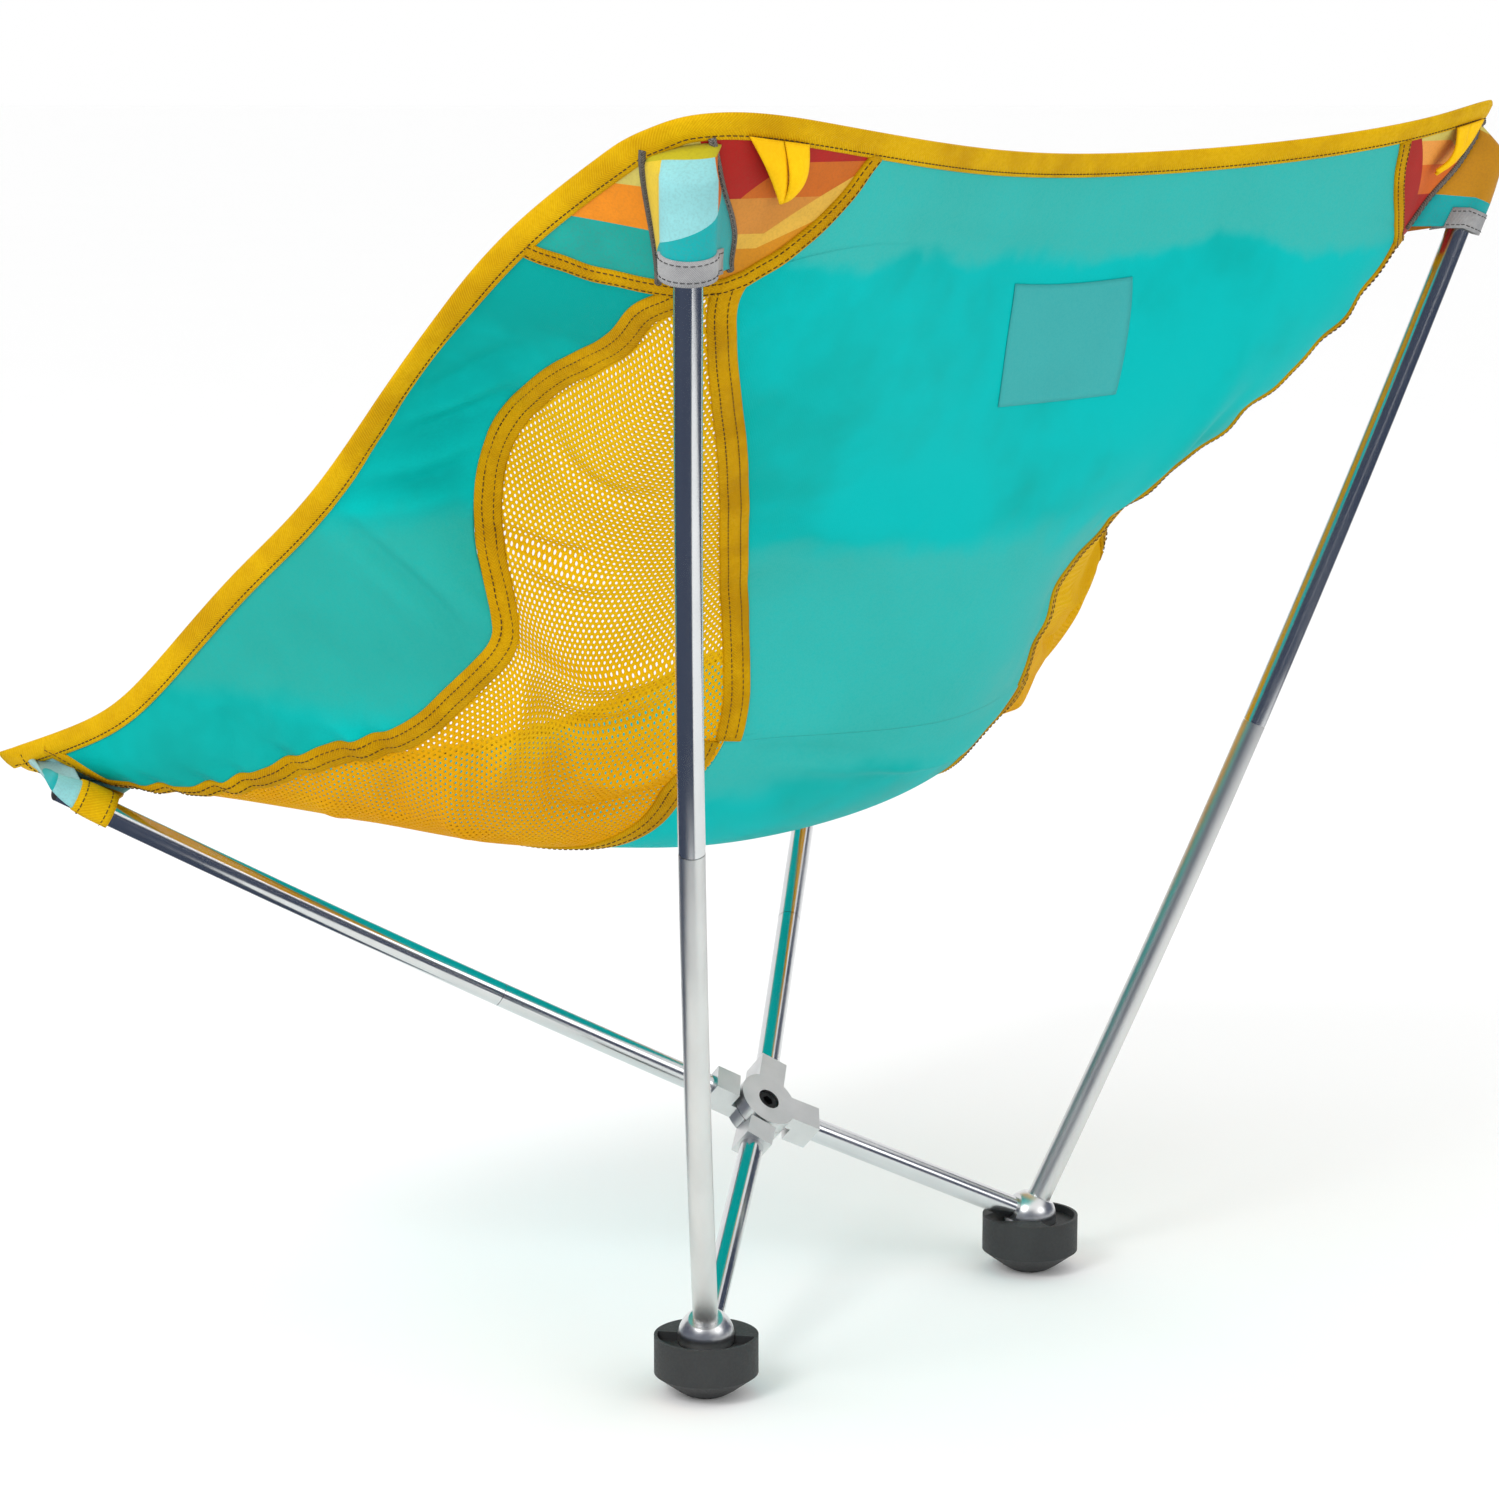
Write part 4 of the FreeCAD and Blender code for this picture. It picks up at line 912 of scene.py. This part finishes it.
def between(name, first, second, material):
    """Cloth filled in between two lines of the sling that share their ends."""
    rows, cols, lift = 70, 22, 0.25 * MM
    t = np.linspace(0, 1, cols)[None, :, None]
    u, v = np.moveaxis(evenly(first, rows)[:, None] * (1 - t) + evenly(second, rows)[:, None] * t, -1, 0)
    inner, outer = on_sling(u, v, lift - CLOTH_HALF), on_sling(u, v, lift + CLOTH_HALF)
    facing = np.sum(np.cross(np.gradient(outer, axis=1), np.gradient(outer, axis=0)) * normal_at(u, v), -1)
    if np.mean(facing) < 0:
        inner, outer, u = inner[:, ::-1], outer[:, ::-1], u[:, ::-1]
    across = np.interp(np.abs(u), HALF_LINES, ROUND_CORNER)
    build = Build()
    build.shell(inner, outer, np.stack([across, outer[..., 2]], -1))
    return build.object(name, [material])


HALF_LINES = U_FINE[LINES * FINE:]
ROUND_CORNER = distances(look_up(SLING, HALF_LINES, 0.45))     # distance round the corner, at about the pouches
# colour blocks by distance round the corner from the sling's middle and by height, in metres
lens_print_left = print_cloth(
    "corner_print_left", RED,
    ((0, -1, -0.582, BURNT), (0.97, 1, 0.834, RED), (0, -1, -0.568, TAN), (-0.85, -1, -0.7644, STREAK),
     (0, -1, -0.5535, STREAK), (-0.43, -1, -0.654, AMBER), (0, -1, -0.5475, AMBER)),
    0.293, PALE_YELLOW, ((0.11, -1, -0.538, ORANGE), (0.213, -1, -0.4896, GREEN_TEAL)))
lens_print_right = print_cloth(
    "corner_print_right", PALE_YELLOW,
    ((0, -1, -0.583, BRIGHT_ORANGE), (0.5, 1, 0.7145, PALE_YELLOW), (0, -1, -0.571, VERMILION),
     (0, -1, -0.556, RED), (-1, -0.5, -0.527, RED)),
    0.300, PALE_YELLOW, ((0, -1, -0.575, ORANGE), (0, -1, -0.556, GREEN_TEAL)))
front_print = print_cloth("front_corner_print", LENS_BLUE, ((0, -1, -0.2855, PALE_BLUE),))
lens_print = {LEFT: lens_print_left, RIGHT: lens_print_right}
rear_border = (line((4, 1.10), (4, CORNER_ALONG), 60) + REAR_CORNER[::-1][1:]
               + line((4 - CORNER_ACROSS, 0), (0.725, 0.05), 200)[1:])
front_border = line((4, 9.70), (4, 10), 30) + line((4, 10), (1.0, 10), 200)[1:] + [(1.0, 9.75)]
rear_linings, front_linings = {}, {}
for name, side in SIDES.items():
    rear_linings[name] = between(f"corner_lining_{name}", flipped(LENS_LINE, side), flipped(rear_border, side),
                                 lens_print[side])
    front_linings[name] = between(f"front_lining_{name}", flipped(FRONT_LINE + [(1.0, 9.75)], side),
                                  flipped(front_border, side), front_print)

# ---------------------------------------------------------------- corner pockets


POUCH_ROWS, POUCH_ARC = 18, 15               # rows from mouth to closed end, points round the pole
POUCH_LIFT, POUCH_HALF = 0.6 * MM, 0.3 * MM
WRAP = math.radians(96)                      # how far the pouch goes round the pole, each way
GUSSET = (0.12, 0.3, 0.5, 0.7, 0.86, 1.0)    # its rows, from the pouch's top edge to the lining
HEM_ROWS = 7


def pocket_sections(mouth, tip, seams, reach, radii):
    """Rows of points from one seam, round the pole, to the other seam, and the pouch's outward direction."""
    axis = (tip - mouth) / np.linalg.norm(tip - mouth)
    steps = np.linspace(0, 1, POUCH_ROWS)
    first, second = (on_sling(*spline(np.linspace(0, 1, len(seam)), np.array(seam, float), steps).T, POUCH_LIFT)
                     for seam in seams)
    centre = mouth + axis * (reach * steps)[:, None]
    across = second - first
    across = unit(across - (across @ axis)[:, None] * axis)
    outward = np.cross(across, axis)
    if np.mean(np.sum(outward * (centre - (first + second) / 2), -1)) < 0:
        outward = -outward
    radius = radii[0] + (radii[1] - radii[0]) * smooth(steps)
    flatter = 0.9 * (1 - 0.25 * smooth((steps - 0.35) / 0.6))
    sections = []
    for k in range(POUCH_ROWS):
        ring = [centre[k] + radius[k] * (np.sin(t) * across[k] + flatter[k] * np.cos(t) * outward[k])
                for t in np.linspace(-WRAP, WRAP, POUCH_ARC)]
        before = [first[k] + (ring[0] - first[k]) * t for t in (0.0, 0.3, 0.65)]
        after = [ring[-1] + (second[k] - ring[-1]) * t for t in (0.35, 0.7, 1.0)]
        sections.append(before + ring + after)
    return np.array(sections), outward


def pocket(name, side, mouth, tip, seams, reach, radii, top, materials, hem_materials, hem_width):
    """A pouch round a pole end, its gusset back to the lining, and the hem round its mouth."""
    flip = np.array([side, 1, 1])
    depth = np.linalg.norm(tip - mouth)
    sections, outward = pocket_sections(mouth, tip, seams, reach, radii)
    m = sections.shape[1]
    shut = spline(np.linspace(0, 1, len(top)), np.array(top, float), np.linspace(0, 1, m))
    shut = on_sling(*shut.T, 0.7 * MM)
    gusset = [sections[-1] + (shut - sections[-1]) * t + outward[-1] * 1.2 * MM * math.sin(math.pi * t)
              for t in GUSSET]
    cloth = np.concatenate([sections, gusset]) * flip
    steps = np.linspace(0, 1, POUCH_ROWS)
    along = depth * np.r_[steps, 1 + 0.12 * np.arange(1, len(GUSSET) + 1)]
    coords = np.stack(np.broadcast_arrays(np.linspace(-1, 1, m)[None, :], along[:, None]), -1)
    normal = unit(np.cross(np.gradient(cloth, axis=1), np.gradient(cloth, axis=0)))
    if np.mean(np.sum(normal[:POUCH_ROWS] * outward[:, None] * flip, -1)) < 0:
        cloth, coords, normal = cloth[:, ::-1], coords[:, ::-1], -normal[:, ::-1]
    build = Build()
    build.shell(cloth - normal * POUCH_HALF, cloth + normal * POUCH_HALF, coords, inner_kind=1)
    rows = np.linspace(-0.02, hem_width / depth, HEM_ROWS)
    strip, up = (np.stack([between_knots(rows, steps, grid[:POUCH_ROWS, j]) for j in range(2, m - 2)], 1)
                 for grid in (cloth, normal))
    up = unit(up)
    strip[0] = strip[0] - (tip - mouth) / depth * flip * 0.9 * MM
    hem_coords = np.stack(np.broadcast_arrays(distances(strip[3])[None, :], (rows * depth)[:, None]), -1)
    hem = Build()
    hem.shell(strip - up * 0.9 * MM, strip + up * 1.1 * MM, hem_coords)
    for row in (1, HEM_ROWS - 2):
        hem.stitches(strip[row] + up[row] * 1.12 * MM, up[row])
    return build.object(name, materials), hem.object(f"{name}_hem", hem_materials)


def box_centre(node):
    return np.mean(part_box(node), axis=0)


REAR_FACE = {
    LEFT: print_cloth("rear_pocket_print_left", PALE_BLUE, (
        (-1.0, 0.0, 0.66, OCHRE), (1.0, 0.0, 0.66, BURNT), (0.008, -1.0, -0.0165, MID_TEAL),
        (0.0, 1.0, 0.0475, LIME))),
    RIGHT: print_cloth("rear_pocket_print_right", DEEP_AMBER, (
        (0.0, -1.0, -0.0125, MID_TEAL), (0.0, 1.0, 0.0475, PALE_YELLOW)))}
pocket_lining = print_cloth("pocket_inside", (0.50, 0.17, 0.01))
front_inside = print_cloth("front_pocket_inside", LENS_BLUE)
front_face = print_cloth("front_pocket_print", PALE_BLUE, ((0.0, 1.0, 0.020, MID_TEAL),))

# where the pouches are sewn down: their two side seams, and the closed end
REAR_SEAMS = ([(3.24, 0.89), (3.36, 0.68), (3.47, 0.50), (3.62, 0.30)],
              [(1.1, 0.84), (1.9, 0.62), (2.59, 0.40), (2.84, 0.20)])
REAR_TOP = [(3.66, 0.20), (3.45, 0.15), (3.2, 0.13), (2.95, 0.13), (2.76, 0.14)]
FRONT_SEAMS = ([(3.5, 9.60), (3.55, 9.72), (3.6, 9.84)], [(1.9, 9.60), (2.2, 9.72), (2.6, 9.84)])
FRONT_TOP = [(3.62, 9.90), (3.35, 9.92), (3.1, 9.93), (2.85, 9.92), (2.65, 9.90)]
SEAM_BINDINGS = ([(3.74, 0.17), (3.62, 0.30), (3.47, 0.50), (3.36, 0.68), (3.24, 0.90)],
                 [(2.92, 0.10), (2.84, 0.20), (2.59, 0.40), (1.9, 0.62), (1.1, 0.85)])

pouches = {}
for name, side in SIDES.items():
    pouches["rear", name] = pocket(
        f"rear_pouch_{name}", side, REAR_MOUTH, box_centre("rear_pole_cap_left"), REAR_SEAMS, 0.041,
        (10.9 * MM, 11.6 * MM), REAR_TOP, [REAR_FACE[side], pocket_lining], [silver_tape, grey_thread], 8 * MM)
    pouches["front", name] = pocket(
        f"front_pouch_{name}", side, FRONT_MOUTH, box_centre("front_pole_cap_left"), FRONT_SEAMS, 0.031,
        (9.6 * MM, 9.0 * MM), FRONT_TOP, [front_face, front_inside], [binding_tape, thread], 12 * MM)
    for end, hem_slot in (("rear", "silver_tape"), ("front", "yellow_webbing")):
        pouch, band = pouches[end, name]
        finish_piece(pouch, [f"{end}_pocket_{name}"], f"{name}_frame")
        finish_piece(band, [f"{end}_pocket_hem_{name}"], f"{name}_frame")

# dark bindings where the pouch sides meet the lining
for name, side in SIDES.items():
    ridge = Build()
    for points in SEAM_BINDINGS:
        seam_tape(ridge, flipped(points, side), 3.0 * MM, (0.0,), 2.4 * MM, 0.2 * MM, inside_stitches=False)
    finish_piece(ridge.object(f"pouch_seams_{name}", [grey_tape, grey_thread]))

# ---------------------------------------------------------------- pull loops and the blank patch


WEBBING_HALF, WEBBING_LIFT = 0.6 * MM, 2.6 * MM
# the two legs of a loop, each as its two top corners, its two foot corners and how far it stands out
LOOP_LEGS = (([(2.40, 0.09), (1.84, 0.10), (1.06, 0.425), (0.99, 0.415)], 4.5 * MM),
             ([(1.80, 0.10), (1.25, 0.10), (1.03, 0.415), (0.955, 0.385)], 6.5 * MM))


def ribbon(build, corners, bulge):
    """A length of webbing that bulges between four places on the sling: two at its top, two at its foot."""
    top_left, top_right, foot_left, foot_right = (on_sling(u, v, WEBBING_LIFT) for u, v in corners)
    up = normal_at(*np.mean(corners, 0))
    t, s = np.meshgrid(np.linspace(0, 1, 16), np.linspace(0, 1, 8), indexing="ij")
    t, s = t[..., None], s[..., None]
    flat = (top_left * (1 - s) + top_right * s) * (1 - t) + (foot_left * (1 - s) + foot_right * s) * t
    flat = flat + up * bulge * np.sin(np.pi * t * 0.9) * (0.75 + 0.25 * np.sin(np.pi * s))
    face = unit(np.cross(np.gradient(flat, axis=1), np.gradient(flat, axis=0)))
    if np.mean(face @ up) < 0:
        flat, face = flat[:, ::-1], -face[:, ::-1]
    build.shell(flat - face * WEBBING_HALF, flat + face * WEBBING_HALF, cloth_coords(flat)[..., ::-1])


for name, side in SIDES.items():
    loop = Build()
    for corners, bulge in LOOP_LEGS:
        ribbon(loop, flipped(corners, side), bulge)
    finish_piece(loop.object(f"pull_tab_{name}", [webbing]), [f"pull_loop_{name}"])

patch_weave = sling_cloth("blank_patch_weave", (0.03, 0.38, 0.39), (0.08, 0.42, 0.40), (0.02, 0.31, 0.33),
                          ((0.3, 0.7, 0.01, 0.5),))
PATCH_MIDDLE = (0.025, 1.6)
u, v = np.meshgrid(np.linspace(-0.15, 0.175, 24), np.linspace(1.17, 2.04, 24))
# the lines draw together downwards, so the patch takes up more of them there and keeps its width
u = PATCH_MIDDLE[0] + (u - PATCH_MIDDLE[0]) * (1 + 0.25 * (v - PATCH_MIDDLE[1]))
patch = Build()
patch.shell(on_sling(u, v, 0.45 * MM), on_sling(u, v, 0.8 * MM), cloth_coords(on_sling(u, v)))
finish_piece(patch.object("blank_patch", [patch_weave]), ["label_patch"])

# ---------------------------------------------------------------- sheets: baked in place, and cut sizes

finish_piece(back, ["back_panel"])
finish_piece(seat, ["seat_panel"])
for name in SIDES:
    finish_piece(strips[name], [f"side_strip_{name}"])
    finish_piece(meshes[name], [f"mesh_panel_{name}"])
    finish_piece(rear_linings[name], [f"rear_corner_lining_{name}"])
    finish_piece(front_linings[name], [f"front_corner_lining_{name}"])

# each sheet's flat cut, width by length in metres, and its area where the cut isn't a rectangle
for name in SIDES:
    for end, flat, area in (("rear", (0.075, 0.085), 0.0044), ("front", (0.075, 0.060), 0.0033)):
        pouch, band = pouches[end, name]

# ---------------------------------------------------------------- frame parts from the CAD

POLE = metal("drawn_pole_aluminium", (0.70, 0.71, 0.72), 0.16, (1.0, 1.0, 0.05), 0.05)
HUB = metal("machined_hub_aluminium", (0.74, 0.74, 0.74), 0.34, (1.0, 1.0, 1.0), 0.08)
BALL = metal("satin_ball_aluminium", (0.80, 0.80, 0.80), 0.30, (0.3, 0.3, 1.0), 0.05)
SATIN_POLE = metal("satin_pole_aluminium", (0.72, 0.72, 0.71), 0.36, (1.0, 1.0, 0.05), 0.06)
STEEL = dull("black_oxide_steel", (0.018, 0.018, 0.02), 0.38, 0.7, metallic=0.7)
CAP = dull("cap_plastic", (0.03, 0.03, 0.03), 0.5, 0.7)
CORD = dull("shock_cord_sheath", (0.05, 0.05, 0.06), 0.8, 0.6)
RUBBER = dull("shoe_rubber_moulded", (0.035, 0.037, 0.038), 0.62, 0.8, Specular_IOR_Level=0.4)
# the first entry whose word is in a node's name gives its finish
FINISHES = (("foot_shoe", RUBBER), ("foot_ball", BALL), ("shock_cord", CORD), ("pole_cap", CAP),
            ("ferrule", POLE), ("rear_pole_lower", SATIN_POLE), ("pole", POLE), ("hub_bolt", STEEL),
            ("hub_nut", STEEL), ("hub_", HUB))
for node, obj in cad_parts.items():
    finish = next((material for part, material in FINISHES if part in node), None)
    if finish:
        for slot in obj.material_slots:
            slot.link = "OBJECT"
            slot.material = finish

# ---------------------------------------------------------------- floor, light and camera

FLOOR_REACH, FLOOR_LEVEL = 60.0, -0.0005
floor_mesh = bpy.data.meshes.new("floor")
corners = [(x * FLOOR_REACH, y * FLOOR_REACH, FLOOR_LEVEL) for x, y in ((-1, -1), (1, -1), (1, 1), (-1, 1))]
floor_mesh.from_pydata(corners, [], [(0, 1, 2, 3)])
floor = link("floor", floor_mesh)
paper = Shader("pale_floor", roughness=0.85, Specular_IOR_Level=0.1)
paper.colour(paper.mix(paper.noise(paper.place(), 2.0), (0.985, 0.985, 0.985), (0.995, 0.995, 0.995)))
floor_mesh.materials.append(paper.material)

world = bpy.data.worlds.new("studio")
bpy.context.scene.world = world
world.use_nodes = True
background = world.node_tree.nodes["Background"]
background.inputs["Color"].default_value = (1.0, 1.0, 1.0, 1.0)
background.inputs["Strength"].default_value = 1.0


def reflected_only(name, points, count):
    """A dark surface between two rows of points that shows in reflections and nowhere else."""
    data = bpy.data.meshes.new(name)
    data.from_pydata(points, [], [(i, i + 1, i + 1 + count, i + count) for i in range(count - 1)])
    data.materials.append(dark_cloth.material)
    obj = link(name, data)
    obj.visible_camera = obj.visible_diffuse = obj.visible_shadow = obj.visible_transmission = False


def dark_screen(name, start, end, height):
    """A curved dark cloth round the studio, between two bearings, that only shows in reflections."""
    bearings = np.radians(np.linspace(start, end, 25))
    foot = [(SCREEN_REACH * math.cos(t), SCREEN_REACH * math.sin(t), 0.02) for t in bearings]
    head = [(x, y, height) for x, y, _ in foot]
    reflected_only(name, foot + head, len(foot))


def dark_floor(name, middle, start, end, near, far):
    """A dark cloth on the floor, part of a ring between two bearings, that only shows in reflections."""
    bearings = np.radians(np.linspace(start, end, 33))
    x, y = middle
    inner, outer = ([(x + radius * math.cos(t), y + radius * math.sin(t), 0.001) for t in bearings]
                    for radius in (near, far))
    reflected_only(name, inner + outer, len(bearings))


SCREEN_REACH, FULL_HEIGHT, LOW_HEIGHT = 3.4, 2.6, 1.3
dark_cloth = Shader("dark_studio_cloth", roughness=1.0, Specular_IOR_Level=0.0)
dark_cloth.colour(dark_cloth.mix(dark_cloth.noise(dark_cloth.place(), 1.5),
                                 (0.045, 0.055, 0.09), (0.06, 0.075, 0.115)))
dark_screen("screen_behind_camera", -80, 58, FULL_HEIGHT)
dark_screen("screen_low", 58, 112, LOW_HEIGHT)
dark_screen("screen_right_of_camera", 112, 175, FULL_HEIGHT)
dark_floor("floor_cloth_in_front", (0.17, FEET_BACK + 0.03), -98, 70, 0.25, 3.2)
dark_floor("floor_cloth_beside", (0.0, 0.0), 66, 170, 0.92, 3.2)


def area_light(name, place, target, size, power):
    data = bpy.data.lights.new(name, "AREA")
    data.shape = "RECTANGLE"
    data.size, data.size_y = size
    data.energy = power
    obj = link(name, data)
    obj.location = place
    obj.rotation_euler = (Vector(target) - Vector(place)).to_track_quat("-Z", "Y").to_euler()


CHAIR = (0.0, 0.0, 0.3)
area_light("key", (2.4, 0.2, 2.2), CHAIR, (1.0, 1.0), 30)
area_light("back_fill", (-0.4, 2.8, 1.4), CHAIR, (1.6, 1.0), 8)

CAMERA_PLACE = (1.44957, 1.16536 + FEET_BACK, 0.62360)
CAMERA_YAW, CAMERA_PITCH = 229.26, 10.11        # degrees from straight ahead, and below level
camera_data = bpy.data.cameras.new("camera")
camera_data.lens = 93.3
camera_data.sensor_width = 36
camera_data.clip_end = 50
camera = link("camera", camera_data)
yaw, pitch = math.radians(CAMERA_YAW), math.radians(CAMERA_PITCH)
ahead = Vector((math.sin(yaw) * math.cos(pitch), math.cos(yaw) * math.cos(pitch), -math.sin(pitch)))
right = Vector((math.cos(yaw), -math.sin(yaw), 0.0))
above = right.cross(ahead)
turn = Matrix((right, above, -ahead)).transposed()
camera.matrix_world = Matrix.Translation(CAMERA_PLACE) @ turn.to_4x4()
bpy.context.scene.camera = camera
bpy.context.scene.view_settings.view_transform = "Standard"
